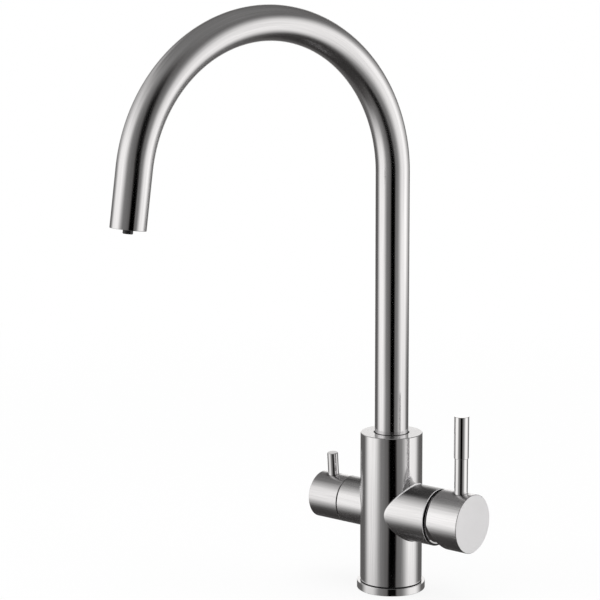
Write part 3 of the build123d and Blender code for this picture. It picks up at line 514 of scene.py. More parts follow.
@dataclass(frozen=True, kw_only=True)
class BrushedSteel(Finish):
    """Stainless steel with the fine straight grain of a brush, worn cloudy by hands."""

    grain: Grain
    contrast: float
    marks: tuple[Mark, ...]
    depth: float = 0.0000012
    stretch: float = 0.022
    line_kinds: tuple[tuple[Noise, float], ...] = (
        (Noise(1 / LINE_WIDTH, 3.0, 0.65), 0.35),
        (Noise(0.22 / LINE_WIDTH), 0.3),
        (Noise(0.6 / LINE_WIDTH, 1.0), 0.35),
    )
    line_dulling: float = 0.14
    handling: Noise = Noise(24.0, 3.0, 0.55)
    handling_contrast: float = 0.06
    handling_dulling: float = 0.07

    def lines(self, place: Wire, stretch: Triple) -> Wire:
        """Draw the brush's lines in several widths, as a pattern about 0.5."""
        brushed = place.stretched(stretch)
        return sum(brushed.noise(kind) * share for kind, share in self.line_kinds)

    def straightened(self, graph: ShaderGraph) -> Wire:
        """Give the place on the neck as if it were straight.

        Args:
            graph: The material's graph.

        Returns:
            The place, upright along the neck.
        """
        turn, along, _ = graph.node("ShaderNodeUVMap", uv_map=NECK_MAP).split()
        angle = turn * FULL_TURN
        x, y = (angle.maths(side) * NECK_RADIUS for side in ("COSINE", "SINE"))
        return graph.node("ShaderNodeCombineXYZ", {0: x, 1: y, 2: along})

    def grained(self, place: Wire) -> Wire:
        """Draw the lines the way that the piece was brushed.

        Args:
            place: The place on the piece.

        Returns:
            The lines, as a pattern about 0.5.
        """
        upright, along = (1.0, 1.0, self.stretch), (self.stretch, 1.0, 1.0)
        if self.grain is Grain.ALONG_NECK:
            return self.lines(self.straightened(place.graph), upright)
        if self.grain is Grain.ALONG_ARMS:
            return self.lines(place, along)
        return self.lines(place, upright).towards(self.lines(place, along), on_arms(place))

    def draw(self, place: Wire) -> Skin:
        """Draw the brush's lines and the clouds of handling, and then each mark.

        Args:
            place: The place on the piece.

        Returns:
            The surface.
        """
        lines = self.grained(place)
        handled = place.noise(self.handling)
        level = lines.swing(self.contrast) + handled.swing(self.handling_contrast) + 1.0
        rough = lines.swing(self.line_dulling) + handled.swing(self.handling_dulling)
        skin = Skin(place, lines, level, rough + self.roughness)
        for mark in self.marks:
            mark.draw(skin)
        return skin


@dataclass(frozen=True, kw_only=True)
class PolishedSteel(Finish):
    """Steel polished to a mirror, with faint wiping marks."""

    depth: float = 0.0000008
    least_roughness: float = 0.015
    wiping: Noise = Noise(260.0, 3.0, 0.65)
    wiping_stretch: Triple = (1.0, 0.35, 0.6)
    haze: Noise = Noise(30.0)
    dulling: float = 0.05
    contrast: float = 0.04

    def draw(self, place: Wire) -> Skin:
        """Draw wiping marks in the roughness and a trace of them in the relief.

        Args:
            place: The place on the piece.

        Returns:
            The surface.
        """
        wiped = place.stretched(self.wiping_stretch).noise(self.wiping)
        hazed = place.noise(self.haze)
        rough = wiped.swing(self.dulling) + hazed.swing(self.dulling) + self.roughness
        return Skin(place, wiped, hazed.swing(self.contrast) + 1.0, rough)


@dataclass(frozen=True, kw_only=True)
class TurnedMetal(Finish):
    """Machined metal with the rings that a lathe tool leaves round its axis."""

    axis: Axis
    centre: Triple = (0.0, 0.0, 0.0)
    pitch: float = 0.00022
    depth: float = 0.000002
    tarnish: Noise = Noise(90.0, 4.0, 0.6)
    ring_dulling: float = 0.06
    tarnish_dulling: float = 0.22
    contrast: float = 0.24

    def draw(self, place: Wire) -> Skin:
        """Draw the tool's rings along and across the axis, over a cloudy tarnish.

        Args:
            place: The place on the piece.

        Returns:
            The surface.
        """
        moved = place.seen_from(self.centre)
        rings = (moved.off_axis(self.axis) + moved.split()[self.axis]).wave(self.pitch)
        tarnished = place.noise(self.tarnish)
        rough = rings.swing(self.ring_dulling) + tarnished.swing(self.tarnish_dulling)
        level = tarnished.swing(self.contrast) + 1.0
        return Skin(place, rings, level, rough + self.roughness)


@dataclass(frozen=True, kw_only=True)
class Moulded(Finish):
    """Moulded plastic or rubber with a fine spark-eroded texture."""

    depth: float = 0.000006
    least_roughness: float = 0.08
    speckle: Noise = Noise(1 / 0.0003, 2.0, 0.6)
    clouds: Noise = Noise(140.0, 3.0)
    mottling: float = 0.16
    speckle_dulling: float = 0.18
    cloud_dulling: float = 0.12

    def draw(self, place: Wire) -> Skin:
        """Draw the mould's texture and a slight unevenness of colour.

        Args:
            place: The place on the piece.

        Returns:
            The surface.
        """
        eroded = place.noise(self.speckle)
        clouded = place.noise(self.clouds)
        rough = eroded.swing(self.speckle_dulling) + clouded.swing(self.cloud_dulling)
        level = clouded.swing(self.mottling) + 1.0
        return Skin(place, eroded, level, rough + self.roughness, metal=0.0)


@dataclass(frozen=True, kw_only=True)
class GroundCeramic(Finish):
    """Alumina ceramic, lapped to a dull shine, with tiny open pores."""

    depth: float = 0.000004
    refraction: float = 1.76
    pores: Noise = Noise(5200.0, 1.0)
    pore_edge: Fade = Fade(0.36, 0.42)
    pore_shade: float = 0.1
    haze: Noise = Noise(260.0, 3.0, 0.6)
    contrast: float = 0.06
    dulling: float = 0.1

    def constants(self) -> Sockets:
        """Give it a glassy gloss."""
        return {"IOR": self.refraction}

    def draw(self, place: Wire) -> Skin:
        """Draw the pores and the lapping haze.

        Args:
            place: The place on the piece.

        Returns:
            The surface.
        """
        solid = place.noise(self.pores).fade(*self.pore_edge)
        hazed = place.noise(self.haze)
        level = solid * self.pore_shade + hazed.swing(self.contrast) + (1 - self.pore_shade)
        rough = hazed.swing(self.dulling) + self.roughness
        return Skin(place, solid, level, rough, metal=0.0)


BRUSHED_BARREL = BrushedSteel(
    name="steel_brushed_barrel",
    colour=(0.776, 0.768, 0.776),
    roughness=0.11,
    grain=Grain.BARREL_AND_ARMS,
    contrast=0.55,
    marks=(
        # Painted shade on the arms' tops, in ragged streaks.
        DullArmsWithPaintedTopShade(),
        TurnedEnd(Axis.UPRIGHT, BARREL_TOP, roughness=0.2, metal=0.94, level=0.84),
        # Painted shade on the mixer arm's end face, behind the cap.
        PaintedShadeEnd(Axis.ALONG_ARMS, MIXER_ARM_END),
        # Painted shade in a ring round the neck's foot on the barrel's top.
        PaintedShadeSeat((0.0, 0.0, BARREL_TOP), 0.0131, width=0.0007, darkest=0.1),
        # Painted highlight along the saddle's edge, which is also rubbed to a satin.
        PaintedLightBand(None, BARREL_RADIUS + 0.00004, BARREL_RADIUS + 0.0009, (0.071, 0.077)),
        # Painted highlight on the mixer arm's end edge, which is also rubbed to a satin.
        PaintedLightBand(Axis.ALONG_ARMS, MIXER_ARM_END - 0.00038, MIXER_ARM_END + 0.00002, (0.04, 0.06)),
        # Painted shade at the barrel's foot, just above the base ring.
        PaintedLightBand(Axis.UPRIGHT, 0.0050, 0.0062, level=0.15, metal=1.0),
    ),
)
BRUSHED_CAP = BrushedSteel(
    name="steel_brushed_cap",
    # A lighter copy of the barrel's steel, which brightens the cap's highlights: painted light.
    colour=(0.84, 0.831, 0.84),
    roughness=0.26,
    grain=Grain.ALONG_ARMS,
    contrast=0.62,
    depth=0.000004,
    marks=(
        TurnedEnd(Axis.ALONG_ARMS, 0.0734, middle=ARM_AXIS, level=1.02),
        # Painted shade round the lever rod's foot.
        PaintedShadeSeat(CAP_SEAT, 0.0049),
        # Painted highlight on the cap's inner edge by the slot, which is also rubbed to a satin.
        PaintedLightBand(Axis.ALONG_ARMS, 0.0470, 0.04754),
    ),
)
BRUSHED_KNOB = BrushedSteel(
    name="steel_brushed_knob",
    # A darker copy of the barrel's steel: painted shade.
    colour=(0.712, 0.703, 0.711),
    roughness=0.24,
    grain=Grain.ALONG_ARMS,
    contrast=0.62,
    depth=0.000004,
    # The seat paints shade round the filter pin's foot.
    marks=(TurnedEnd(Axis.ALONG_ARMS, -0.0651, middle=ARM_AXIS), PaintedShadeSeat(KNOB_SEAT, 0.0041)),
)
BRUSHED_NECK = BrushedSteel(
    name="steel_brushed_neck",
    # A darker copy of the barrel's steel, which tones down the neck's highlights: painted shade.
    colour=(0.745, 0.737, 0.745),
    roughness=0.11,
    grain=Grain.ALONG_NECK,
    contrast=0.6,
    marks=(
        BendHaze(),
        # Painted shade at the neck's foot, where it enters the barrel.
        PaintedLightBand(Axis.UPRIGHT, BARREL_TOP - 0.001, BARREL_TOP + 0.0005, level=0.25, metal=1.0),
    ),
)
POLISHED = PolishedSteel(name="steel_polished", colour=(0.862, 0.855, 0.862), roughness=0.05)
UPRIGHT_BRASS = TurnedMetal(
    name="brass_turned_upright", colour=BRASS, roughness=0.28, axis=Axis.UPRIGHT
)
ARM_BRASS = TurnedMetal(
    name="brass_turned_along_arm",
    colour=BRASS,
    roughness=0.28,
    axis=Axis.ALONG_ARMS,
    centre=ARM_AXIS,
)
CUT_THREADS = TurnedMetal(
    name="steel_cut_threads", colour=(0.62, 0.61, 0.6), roughness=0.3, axis=Axis.UPRIGHT
)
FASTENER = TurnedMetal(
    name="screw_steel",
    colour=(0.48, 0.48, 0.49),
    roughness=0.3,
    axis=Axis.ALONG_ARMS,
    centre=ARM_AXIS,
)
RUBBER = Moulded(
    name="rubber_black",
    colour=(0.018, 0.018, 0.019),
    roughness=0.62,
    depth=0.00001,
    speckle=Noise(1 / 0.0004, 2.0, 0.6),
)
BLACK_PLASTIC = Moulded(name="plastic_black", colour=(0.012, 0.012, 0.013), roughness=0.36)
GREY_PLASTIC = Moulded(name="plastic_grey", colour=(0.32, 0.33, 0.34), roughness=0.42)
WHITE_PLASTIC = Moulded(
    name="plastic_white", colour=(0.82, 0.82, 0.79), roughness=0.38, mottling=0.06
)
CERAMIC = GroundCeramic(name="ceramic_lapped", colour=(0.86, 0.85, 0.81), roughness=0.22)


# Pieces
def spun(outline: Points, steps: int, closed: bool) -> BMesh:
    """Spin an outline once round the upright axis.

    Args:
        outline: The distance from the axis and the height of each corner.
        steps: The number of steps in the turn.
        closed: Whether the last corner joins the first.

    Returns:
        The new bmesh.
    """
    mesh = bmesh.new()
    knots = [mesh.verts.new((reach, 0.0, height)) for reach, height in outline]
    ends = knots[1:] + knots[:1] if closed else knots[1:]
    section = [mesh.edges.new(pair) for pair in zip(knots, ends)]
    bmesh.ops.spin(
        mesh,
        geom=knots + section,
        cent=(0, 0, 0),
        axis=(0, 0, 1),
        angle=FULL_TURN,
        steps=steps,
        use_merge=True,
    )
    return mesh


def only(kind: type, parts: Iterable[object]) -> list:
    """Keep the parts of one kind."""
    return [part for part in parts if isinstance(part, kind)]


def face_outwards(mesh: BMesh) -> None:
    """Turn every face of a mesh outwards."""
    bmesh.ops.recalc_face_normals(mesh, faces=mesh.faces[:])


def link(name: str, data: ID) -> Object:
    """Put new data into the scene as an object.

    Args:
        name: The object's name.
        data: Its mesh, lamp or camera.

    Returns:
        The new object.
    """
    made = bpy.data.objects.new(name, data)
    bpy.context.scene.collection.objects.link(made)
    return made


def new_piece(name: str, mesh: BMesh, smooth: float = 35.0) -> Object:
    """Turn a finished bmesh into a piece at the origin.

    Args:
        name: The piece's name.
        mesh: The bmesh, which is freed.
        smooth: The angle in degrees past which an edge is drawn sharp.

    Returns:
        The new object, linked to the scene.
    """
    data = bpy.data.meshes.new(name)
    limit = math.radians(smooth)
    for face in mesh.faces:
        face.smooth = True
    for edge in mesh.edges:
        edge.smooth = not edge.is_manifold or edge.calc_face_angle(0.0) < limit
    mesh.to_mesh(data)
    mesh.free()
    return link(name, data)


def soften_edges(piece: Object, width: float, segments: int = 3, sharp: float = 60.0) -> None:
    """Round a piece's sharp edges off.

    Args:
        piece: The piece.
        width: How far the rounding reaches from each edge.
        segments: The number of facets across it.
        sharp: The angle in degrees past which an edge is rounded.
    """
    rim = piece.modifiers.new("rims", "BEVEL")
    rim.width = width
    rim.segments = segments
    rim.limit_method = "ANGLE"
    rim.angle_limit = math.radians(sharp)
    rim.harden_normals = True


@dataclass
class SubAssembly:
    """A group of pieces that is built and finished together, with its nodes' finishes."""

    finishes: ClassVar[dict[str, Finish]] = {}

    def build(self) -> list[Object]:
        """Make the new pieces; most groups have none."""
        return []

    def dress(self) -> None:
        """Give every carried-over node of the group its finish."""
        for node, finish in self.finishes.items():
            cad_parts[node].material_slots[0].material = finish.material()
            log.info("finished %s as %s", node, finish.name)

    def settle(
        self, piece: Object, body: str, slot: str, finish: Finish, replaced: Iterable[str] = ()
    ) -> Object:
        """Give a new piece its body and its finish.

        Args:
            piece: The new piece.
            body: The body that it moves with.
            slot: The record's material slot; not used.
            finish: Its finish.
            replaced: The nodes that it stands for.

        Returns:
            The same piece.
        """
        piece.data.materials.append(finish.material())
        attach(piece, body)
        if replaced:
            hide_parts(*replaced)
        log.info("built %s on %s", piece.name, body)
        return piece


@dataclass
class Foot(SubAssembly):
    """The base ring that the tap stands on, with the gasket in its underside."""

    finishes = {"base_gasket": RUBBER}
    inner: float = 0.019
    outer: float = 0.02539
    height: float = 0.0055
    groove_inner: float = 0.0207
    groove_outer: float = 0.0237
    groove_depth: float = 0.0015
    rounding: float = 0.00025
    steps: int = 128

    def ring(self) -> Object:
        """Spin the ring's outline round the barrel and round its edges off.

        Returns:
            The ring's object.
        """
        outline = (
            (self.inner, 0.0),
            (self.groove_inner, 0.0),
            (self.groove_inner, self.groove_depth),
            (self.groove_outer, self.groove_depth),
            (self.groove_outer, 0.0),
            (self.outer, 0.0),
            (self.outer, self.height),
            (self.inner, self.height),
        )
        mesh = spun(outline, self.steps, closed=True)
        face_outwards(mesh)
        piece = new_piece("polished_base_ring", mesh)
        soften_edges(piece, self.rounding)
        return piece

    def build(self) -> list[Object]:
        """Make the ring."""
        return [self.settle(self.ring(), "tap", "polished_steel", POLISHED, ["base_ring"])]


@dataclass(frozen=True)
class HoleThread:
    """A thread's ridge that winds up inside an upright hole.

    Its sizes are in metres. The room at each end and half the width of its foot are in pitches.
    """

    hole_radius: float
    length: float
    pitch: float = 0.001
    ridge: float = 0.0003
    sunk: float = 0.00005
    end_room: float = 0.6
    half_foot: float = 0.42
    steps_a_turn: int = 32

    def wind(self, mesh: BMesh, middle: tuple[float, float]) -> None:
        """Wind one ridge from its three-cornered section.

        Args:
            mesh: The bmesh that takes the ridge.
            middle: The hole's place across the underside.
        """
        start = self.pitch * self.end_room
        wall = self.hole_radius + self.sunk
        section = (
            (wall, 0.0, start - self.pitch * self.half_foot),
            (self.hole_radius - self.ridge, 0.0, start),
            (wall, 0.0, start + self.pitch * self.half_foot),
        )
        knots = [mesh.verts.new(Vector(knot) + Vector((*middle, 0.0))) for knot in section]
        face = mesh.faces.new(knots)
        turns = (self.length - 2 * start) / self.pitch
        bmesh.ops.spin(
            mesh,
            geom=[face, *face.edges, *knots],
            cent=(*middle, 0.0),
            axis=(0, 0, 1),
            dvec=(0, 0, self.pitch / self.steps_a_turn),
            angle=turns * FULL_TURN,
            steps=round(turns * self.steps_a_turn),
        )


@dataclass
class Barrel(SubAssembly):
    """The barrel with its two arms, and the screw at its back that keeps the spout in."""

    finishes = {"tap_body": BRUSHED_BARREL, "retaining_screw": FASTENER}
    inlet_thread: HoleThread = HoleThread(0.0045, 0.012)
    inlets: Points = ((0.008214, -0.006663), (0.008214, 0.006663), (-0.006213, 0.0))
    stud_thread: HoleThread = HoleThread(0.0025, 0.014)
    studs: Points = ((0.0, -0.015), (0.0, 0.015))

    def threads(self, name: str, thread: HoleThread, holes: Points) -> Object:
        """Wind the same thread into several holes.

        Args:
            name: The piece's name.
            thread: The thread.
            holes: The holes' places.

        Returns:
            The threads' object.
        """
        mesh = bmesh.new()
        for middle in holes:
            thread.wind(mesh, middle)
        face_outwards(mesh)
        return self.settle(new_piece(name, mesh), "tap", "brushed_steel", CUT_THREADS)

    def build(self) -> list[Object]:
        """Cut the threads of the inlets and of the stud holes."""
        return [
            self.threads("inlet_threads", self.inlet_thread, self.inlets),
            self.threads("stud_threads", self.stud_thread, self.studs),
        ]


@dataclass
class SwanNeck(SubAssembly):
    """The spout's bent tube, the connector that it turns on and the hose inside."""

    finishes = {
        "spout_connector": UPRIGHT_BRASS,
        "glide_ring_lower": WHITE_PLASTIC,
        "glide_ring_upper": WHITE_PLASTIC,
        "spout_seal_lower": RUBBER,
        "spout_seal_upper": RUBBER,
        "nipple_seal": RUBBER,
        "filtered_water_hose": WHITE_PLASTIC,
    }
    radius: float = NECK_RADIUS - 0.00003
    wall: float = 0.00117
    segments: int = 96
    leg_steps: int = 12
    bend_steps: int = 160
    outlet_steps: int = 4
    rim: float = 0.0003

    def outlet_direction(self) -> Vector:
        """Give the way the water leaves, in the spout's own plane."""
        return Vector((math.sin(ARCH_SWEEP), 0.0, math.cos(ARCH_SWEEP)))

    def around_and_along(self, point: Vector) -> tuple[float, float]:
        """Give a point's place on the tube, in the spout's own plane.

        Args:
            point: A point of the tube's skin.

        Returns:
            The turn round the tube, from 0 to 1, and the distance along it in metres.
        """
        beyond = math.atan2(point.z - ARCH_HEIGHT, ARCH_RADIUS - point.x)
        reach = math.hypot(point.z - ARCH_HEIGHT, ARCH_RADIUS - point.x)
        if point.z < ARCH_HEIGHT and point.x < ARCH_RADIUS:
            outward, along = -point.x, point.z
        elif beyond > ARCH_SWEEP or beyond < 0:
            past = point - Vector((ARCH_RADIUS, 0.0, ARCH_HEIGHT))
            way = self.outlet_direction()
            side = Vector((-way.z, 0.0, way.x))
            outward = past.dot(side) - ARCH_RADIUS
            along = ARCH_HEIGHT + ARCH_RADIUS * ARCH_SWEEP + past.dot(way)
        else:
            outward, along = reach - ARCH_RADIUS, ARCH_HEIGHT + ARCH_RADIUS * beyond
        return math.atan2(point.y, outward) / FULL_TURN + 0.5, along

    def map_skin(self, mesh: BMesh) -> None:
        """Write each corner's place on the tube to the map that the grain follows.

        Args:
            mesh: The tube's skin, in the spout's own plane.
        """
        first_quarter, last_quarter = 0.25, 0.75
        layer = mesh.loops.layers.uv.new(NECK_MAP)
        for face in mesh.faces:
            places = [self.around_and_along(loop.vert.co) for loop in face.loops]
            at_seam = max(turn for turn, _ in places) > last_quarter
            for loop, (turn, along) in zip(face.loops, places):
                wrapped = turn + 1.0 if at_seam and turn < first_quarter else turn
                loop[layer].uv = (wrapped, along)

    def tube(self) -> Object:
        """Bend the tube from one ring of edges and give it its wall and rims.

        Returns:
            The tube's object.
        """
        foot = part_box("spout_tube")[0].z
        mesh = bmesh.new()
        start = Matrix.Translation((0, 0, foot))
        bmesh.ops.create_circle(mesh, segments=self.segments, radius=self.radius, matrix=start)
        leg = Vector((0, 0, ARCH_HEIGHT - foot))
        bent = bmesh.ops.spin(
            mesh,
            geom=self.drawn_out(mesh, mesh.edges[:], leg, self.leg_steps),
            cent=(ARCH_RADIUS, 0, ARCH_HEIGHT),
            axis=(0, 1, 0),
            angle=ARCH_SWEEP,
            steps=self.bend_steps,
        )
        ring = only(BMEdge, bent["geom_last"])
        self.drawn_out(mesh, ring, self.outlet_direction() * OUTLET_LENGTH, self.outlet_steps)
        face_outwards(mesh)
        self.map_skin(mesh)
        turned = Matrix.Rotation(SPOUT_TURN, 4, "Z")
        bmesh.ops.transform(mesh, matrix=turned, verts=mesh.verts[:])
        piece = new_piece("swan_neck_tube", mesh)
        wall = piece.modifiers.new("wall", "SOLIDIFY")
        wall.thickness = self.wall
        wall.offset = -1.0
        wall.use_even_offset = True
        soften_edges(piece, self.rim)
        return piece

    def drawn_out(self, mesh: BMesh, ring: list[BMEdge], way: Vector, steps: int) -> list[BMEdge]:
        """Draw a ring of edges out along a straight line.

        Args:
            mesh: The bmesh.
            ring: The edges.
            way: How far and which way.
            steps: The number of bands.

        Returns:
            The edges of the last ring.
        """
        for _ in range(steps):
            drawn = bmesh.ops.extrude_edge_only(mesh, edges=ring)["geom"]
            moved = only(BMVert, drawn)
            bmesh.ops.translate(mesh, verts=moved, vec=way / steps)
            edges = only(BMEdge, drawn)
            ring = [edge for edge in edges if set(edge.verts) <= set(moved)]
        return ring

    def build(self) -> list[Object]:
        """Make the bent tube."""
        tube = self.tube()
        return [self.settle(tube, "spout", "brushed_steel", BRUSHED_NECK, ["spout_tube"])]


@dataclass
class Mouth(SubAssembly):
    """The spout's mouth: collar, aerator, and the nozzle for filtered water."""

    finishes = {
        "outlet_collar": POLISHED,
        "aerator_washer": RUBBER,
        "aerator_housing": GREY_PLASTIC,
        "aerator_mesh": POLISHED,
        "filtered_water_nozzle": BLACK_PLASTIC,
    }


@dataclass
class Cartridge(SubAssembly):
    """The mixer's ceramic cartridge with its nut and dome."""

    finishes = {
        "cartridge_base": GREY_PLASTIC,
        "cartridge_port_seals": RUBBER,
        "cartridge_shell": WHITE_PLASTIC,
        "cartridge_nut": ARM_BRASS,
        "cartridge_dome": POLISHED,
        "mixer_fixed_disc": CERAMIC,
        "mixer_moving_disc": CERAMIC,
        "mixer_disc_carrier": WHITE_PLASTIC,
        "mixer_rotor": BLACK_PLASTIC,
        "mixer_rotor_seal": RUBBER,
        "mixer_pivot_pin": FASTENER,
        "mixer_stem": ARM_BRASS,
    }


@dataclass
class Lever(SubAssembly):
    """The mixer's lever: cap, rod, grip and the screw that holds them on."""

    finishes = {
        "lever_cap": BRUSHED_CAP,
        "lever_rod": POLISHED,
        "lever_grip": POLISHED,
        "lever_grub_screw": FASTENER,
    }


@dataclass
class FilterValve(SubAssembly):
    """The valve for filtered water in the smaller arm."""

    finishes = {
        "filter_valve_body": ARM_BRASS,
        "filter_valve_seal": RUBBER,
        "filter_valve_washer": FASTENER,
        "filter_fixed_disc": CERAMIC,
        "filter_moving_disc": CERAMIC,
        "filter_spindle": ARM_BRASS,
        "filter_spindle_seal": RUBBER,
        "filter_spindle_clip": FASTENER,
    }


@dataclass
class FilterHandle(SubAssembly):
    """The knob and pin that open the filtered water."""

    finishes = {
        "filter_knob": BRUSHED_KNOB,
        "filter_pin": POLISHED,
        "filter_grub_screw": FASTENER,
    }


# Studio
@dataclass(frozen=True)
class SoftPanel:
    """A soft panel of the light tent, in degrees seen from the middle of the tap.

    The sides say how far from the panel's middle its light starts to fade and ends. The foot and
    the top say between which heights it fades in and out.
    """

    azimuth: float
    sides: tuple[float, float]
    foot: tuple[float, float]
    top: tuple[float, float]
    level: float

    def glow(self, azimuth: Wire, elevation: Wire) -> Wire:
        """Give the panel's light in each direction.

        Args:
            azimuth: The direction round the tap.
            elevation: The direction above its middle.

        Returns:
            The light that the panel adds.
        """
        turned = (azimuth - self.azimuth).maths("WRAP", 180.0, -180.0)
        light = turned.magnitude().fade(*self.sides, 1.0, 0.0) * elevation.fade(*self.foot)
        return light * elevation.fade(*self.top, 1.0, 0.0) * self.level


@dataclass(frozen=True)
class LightTent:
    """The tent that the metal reflects: soft panels over a dim ground, with a dark gap in front.

    Its profile gives distances from the tap's axis and heights above the tent's middle, in
    metres. What fades does so by degrees above the middle, or to either side of the gap.
    """

    middle: float = 0.26
    profile: Points = (
        (0.30, -0.75),
        (0.50, -0.50),
        (0.53, -0.15),
        (0.60, 0.05),
        (0.85, 0.35),
        (1.30, 0.80),
        (1.50, 1.40),
        (0.90, 2.10),
        (0.05, 2.30),
    )
    steps: int = 96
    depth_behind: float = 4.0
    width_left: float = 2.6
    width_right: float = 2.2
    ground_above: Fade = Fade(25, 70, 0.13, 0.21)
    ground_below: Fade = Fade(-64, -32, 0.3, 1.0)
    gap_middle: float = 1.0
    gap_sides: Fade = Fade(10.0, 18.0)
    gap_top: Fade = Fade(28, 62, 0.0, 0.95)
    gap_foot: Fade = Fade(-68, -36, 0.9, 0.0)
    dim_tint: Triple = (1.05, 0.988, 0.962)
    bright_tint: Triple = (1.01, 1.0, 0.985)
    tint_gain: float = 5.0
    panels: tuple[SoftPanel, ...] = (
        SoftPanel(-80, (10, 43), (-52, -13), (15, 65), 1.0),  # left key
        SoftPanel(-125, (6, 34), (-6, 14), (35, 48), 0.4),  # left wing
        SoftPanel(77, (8, 48), (-53, -24), (10, 46), 0.92),  # right key
        SoftPanel(112, (10, 38), (-18, -6), (4, 42), 0.5),  # right wing
        SoftPanel(180, (7, 24), (-24, -9), (8, 27), 1.0),  # back glow
        SoftPanel(180, (14, 40), (-3, 5), (14, 30), 0.16),  # back strip
        SoftPanel(-46, (6, 34), (-70, -20), (40, 90), 0.1),  # left spill
        SoftPanel(42, (6, 40), (-60, -20), (5, 40), 0.1),  # right spill
    )

    def light(self, azimuth: Wire, elevation: Wire) -> Wire:
        """Give the tent's light in each direction.

        Args:
            azimuth: The direction round the tap, in degrees.
            elevation: The direction above its middle, in degrees.

        Returns:
            The light, dark in the gap in front.
        """
        light = elevation.fade(*self.ground_above) * elevation.fade(*self.ground_below)
        for panel in self.panels:
            light = light + panel.glow(azimuth, elevation)
        aside = (azimuth - self.gap_middle).magnitude().fade(*self.gap_sides)
        beside = aside.larger(elevation.fade(*self.gap_top))
        return light * beside.larger(elevation.fade(*self.gap_foot))

    def fabric(self) -> Material:
        """Make the fabric that glows.

        Returns:
            The fabric's material.
        """
        made, graph = new_material("tent_fabric")
        x, y, z = graph.place().split()
        azimuth = x.maths("ARCTAN2", y * -1.0) * math.degrees(1.0)
        reach = (x * x + y * y).maths("SQRT")
        elevation = z.maths("ARCTAN2", reach) * math.degrees(1.0)
        light = self.light(azimuth, elevation)
        tint = graph.blended(self.dim_tint, self.bright_tint, light * self.tint_gain)
        glow = graph.node("ShaderNodeEmission", {"Color": tint, "Strength": light})
        graph.node("ShaderNodeOutputMaterial", {"Surface": glow})
        made.cycles.emission_sampling = "NONE"
        return made

    def hang(self, heading: Matrix) -> Object:
        """Hang the tent, which only reflections see.

        Args:
            heading: The turn from the camera's own heading to the tap's frame.

        Returns:
            The tent's object.
        """
        mesh = spun(self.profile, self.steps, closed=False)
        bmesh.ops.holes_fill(mesh, edges=[edge for edge in mesh.edges if edge.is_boundary])
        face_outwards(mesh)
        for way, stretch in (
            ((0, 1, 0), (1.0, self.depth_behind, 1.0)),
            ((-1, 0, 0), (self.width_left, 1.0, 1.0)),
            ((1, 0, 0), (self.width_right, 1.0, 1.0)),
        ):
            side = [vert for vert in mesh.verts if vert.co.dot(way) > 0]
            bmesh.ops.scale(mesh, vec=stretch, verts=side)
        tent = new_piece("light_tent", mesh)
        tent.matrix_world = heading @ Matrix.Translation((0, 0, self.middle))
        tent.data.materials.append(self.fabric())
        tent.visible_camera = False
        tent.visible_diffuse = False
        tent.visible_shadow = False
        tent.visible_transmission = False
        return tent


@dataclass(frozen=True)
class PaperFloor:
    """A pale floor that shows white to the eye and keeps the tap's shadow."""

    height: float = -0.0004
    radius: float = 60.0
    segments: int = 96
    colour: Triple = (0.93, 0.93, 0.93)
    roughness: float = 0.9
    fibres: Noise = Noise(900.0, 3.0, 0.6)
    contrast: float = 0.04
    whiteness: Fade = Fade(0.12, 1.2, 0.86, 1.0)

    def paper(self) -> Material:
        """Make the paper, whiter to the eye further from the tap.

        Returns:
            The paper's material.
        """
        made, graph = new_material("floor_paper")
        place = graph.place()
        level = place.noise(self.fibres).swing(self.contrast) + 1.0
        colour = graph.tinted(self.colour, level)
        sockets = {"Base Color": colour, "Roughness": self.roughness}
        paper = graph.node("ShaderNodeBsdfPrincipled", sockets)
        white = graph.node("ShaderNodeEmission", {"Color": WHITE, "Strength": 1.0})
        share = graph.seen() * place.length().fade(*self.whiteness)
        mixed = graph.node("ShaderNodeMixShader", {0: share, 1: paper, 2: white})
        graph.node("ShaderNodeOutputMaterial", {"Surface": mixed})
        return made

    def lay(self) -> Object:
        """Lay the floor just under the tap.

        Returns:
            The floor's object.
        """
        mesh = bmesh.new()
        under = Matrix.Translation((0, 0, self.height))
        bmesh.ops.create_circle(
            mesh, cap_ends=True, segments=self.segments, radius=self.radius, matrix=under
        )
        floor = new_piece("studio_floor", mesh)
        floor.data.materials.append(self.paper())
        floor.visible_glossy = False
        return floor


@dataclass(frozen=True)
class Lamp:
    """A large soft lamp for the shadow and for what isn't metal, in degrees and metres."""

    name: str
    azimuth: float
    height: float
    distance: float
    size: float
    power: float
    aim: float = 0.15

    def hang(self, heading: Matrix) -> Object:
        """Hang the lamp, turned to a height on the tap's axis.

        Args:
            heading: The turn from the camera's own heading to the tap's frame.

        Returns:
            The lamp's object.
        """
        data = bpy.data.lights.new(self.name, "AREA")
        data.shape = "SQUARE"
        data.size = self.size
        data.energy = self.power
        turn = math.radians(self.azimuth)
        across, away = math.sin(turn) * self.distance, math.cos(turn) * self.distance
        place = Vector((across, -away, self.height))
        tilt = (Vector((0, 0, self.aim)) - place).to_track_quat("-Z", "Y").to_matrix().to_4x4()
        lamp = link(self.name, data)
        lamp.matrix_world = heading @ Matrix.Translation(place) @ tilt
        lamp.visible_glossy = False
        return lamp


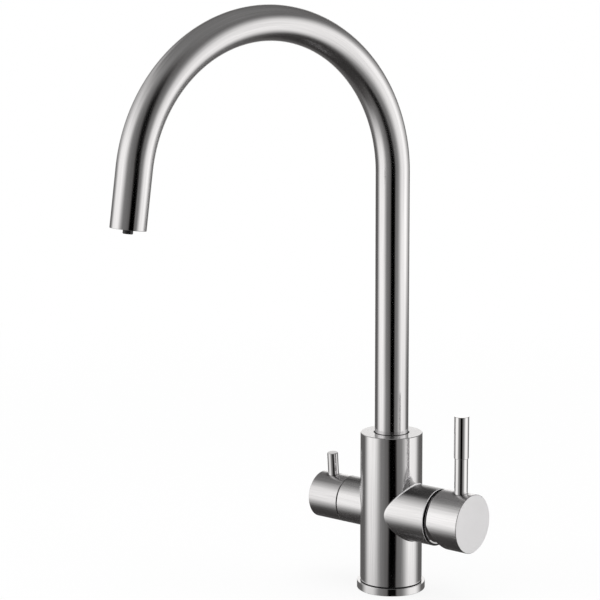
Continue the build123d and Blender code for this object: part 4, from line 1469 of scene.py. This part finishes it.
@dataclass
class Studio:
    """The room, the floor, the light tent, the lamps and the camera."""

    heading: float = 39.4
    pitch: float = 9.49
    roll: float = -0.0033
    camera_place: Triple = (-0.06742, -1.42167, 0.45540)
    lens: float = 118.15
    sensor: float = 36.0
    clips: tuple[float, float] = (0.05, 200.0)
    room_light: float = 0.55
    floor: PaperFloor = PaperFloor()
    tent: LightTent = LightTent()
    lamps: tuple[Lamp, ...] = (
        Lamp("lamp_left", -75, 0.75, 1.6, 1.2, 9.0),
        Lamp("lamp_right", 80, 0.65, 1.6, 1.1, 7.0),
        Lamp("lamp_above", 0, 1.9, 0.05, 1.6, 16.0),
    )

    def aligned(self) -> Matrix:
        """Give the turn from the camera's own heading to the tap's frame."""
        return Matrix.Rotation(math.radians(self.heading), 4, "Z")

    def camera(self) -> Object:
        """Set up the camera where the photograph was taken from.

        Returns:
            The camera's object.
        """
        data = bpy.data.cameras.new("studio_camera")
        data.lens = self.lens
        data.sensor_width = self.sensor
        data.clip_start, data.clip_end = self.clips
        made = link("studio_camera", data)
        down = Matrix.Rotation(math.radians(90 - self.pitch), 4, "X")
        tilt = down @ Matrix.Rotation(self.roll, 4, "Z")
        made.matrix_world = self.aligned() @ Matrix.Translation(self.camera_place) @ tilt
        bpy.context.scene.camera = made
        return made

    def surround(self) -> None:
        """Make the room white to the eye and softly lit for everything else."""
        world = bpy.data.worlds.new("studio_world")
        bpy.context.scene.world = world
        world.use_nodes = True
        graph = ShaderGraph(world.node_tree)
        strength = graph.seen() * (1 - self.room_light) + self.room_light
        sky = graph.node("ShaderNodeBackground", {"Color": WHITE, "Strength": strength})
        graph.node("ShaderNodeOutputWorld", {"Surface": sky})
        world.cycles.sampling_method = "NONE"

    def build(self) -> None:
        """Set up everything round the tap."""
        self.surround()
        self.floor.lay()
        self.tent.hang(self.aligned())
        for lamp in self.lamps:
            lamp.hang(self.aligned())
        self.camera()
        bpy.context.scene.view_settings.view_transform = "Standard"


def main() -> None:
    """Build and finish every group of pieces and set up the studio."""
    logging.basicConfig(level=logging.INFO, format="%(name)s: %(message)s")
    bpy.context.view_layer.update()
    for group in (Foot, Barrel, SwanNeck, Mouth, Cartridge, Lever, FilterValve, FilterHandle):
        made = group()
        made.dress()
        pieces = made.build()
        log.info("%s: %d new pieces", group.__name__, len(pieces))
    Studio().build()


if __name__ == "__main__":
    main()
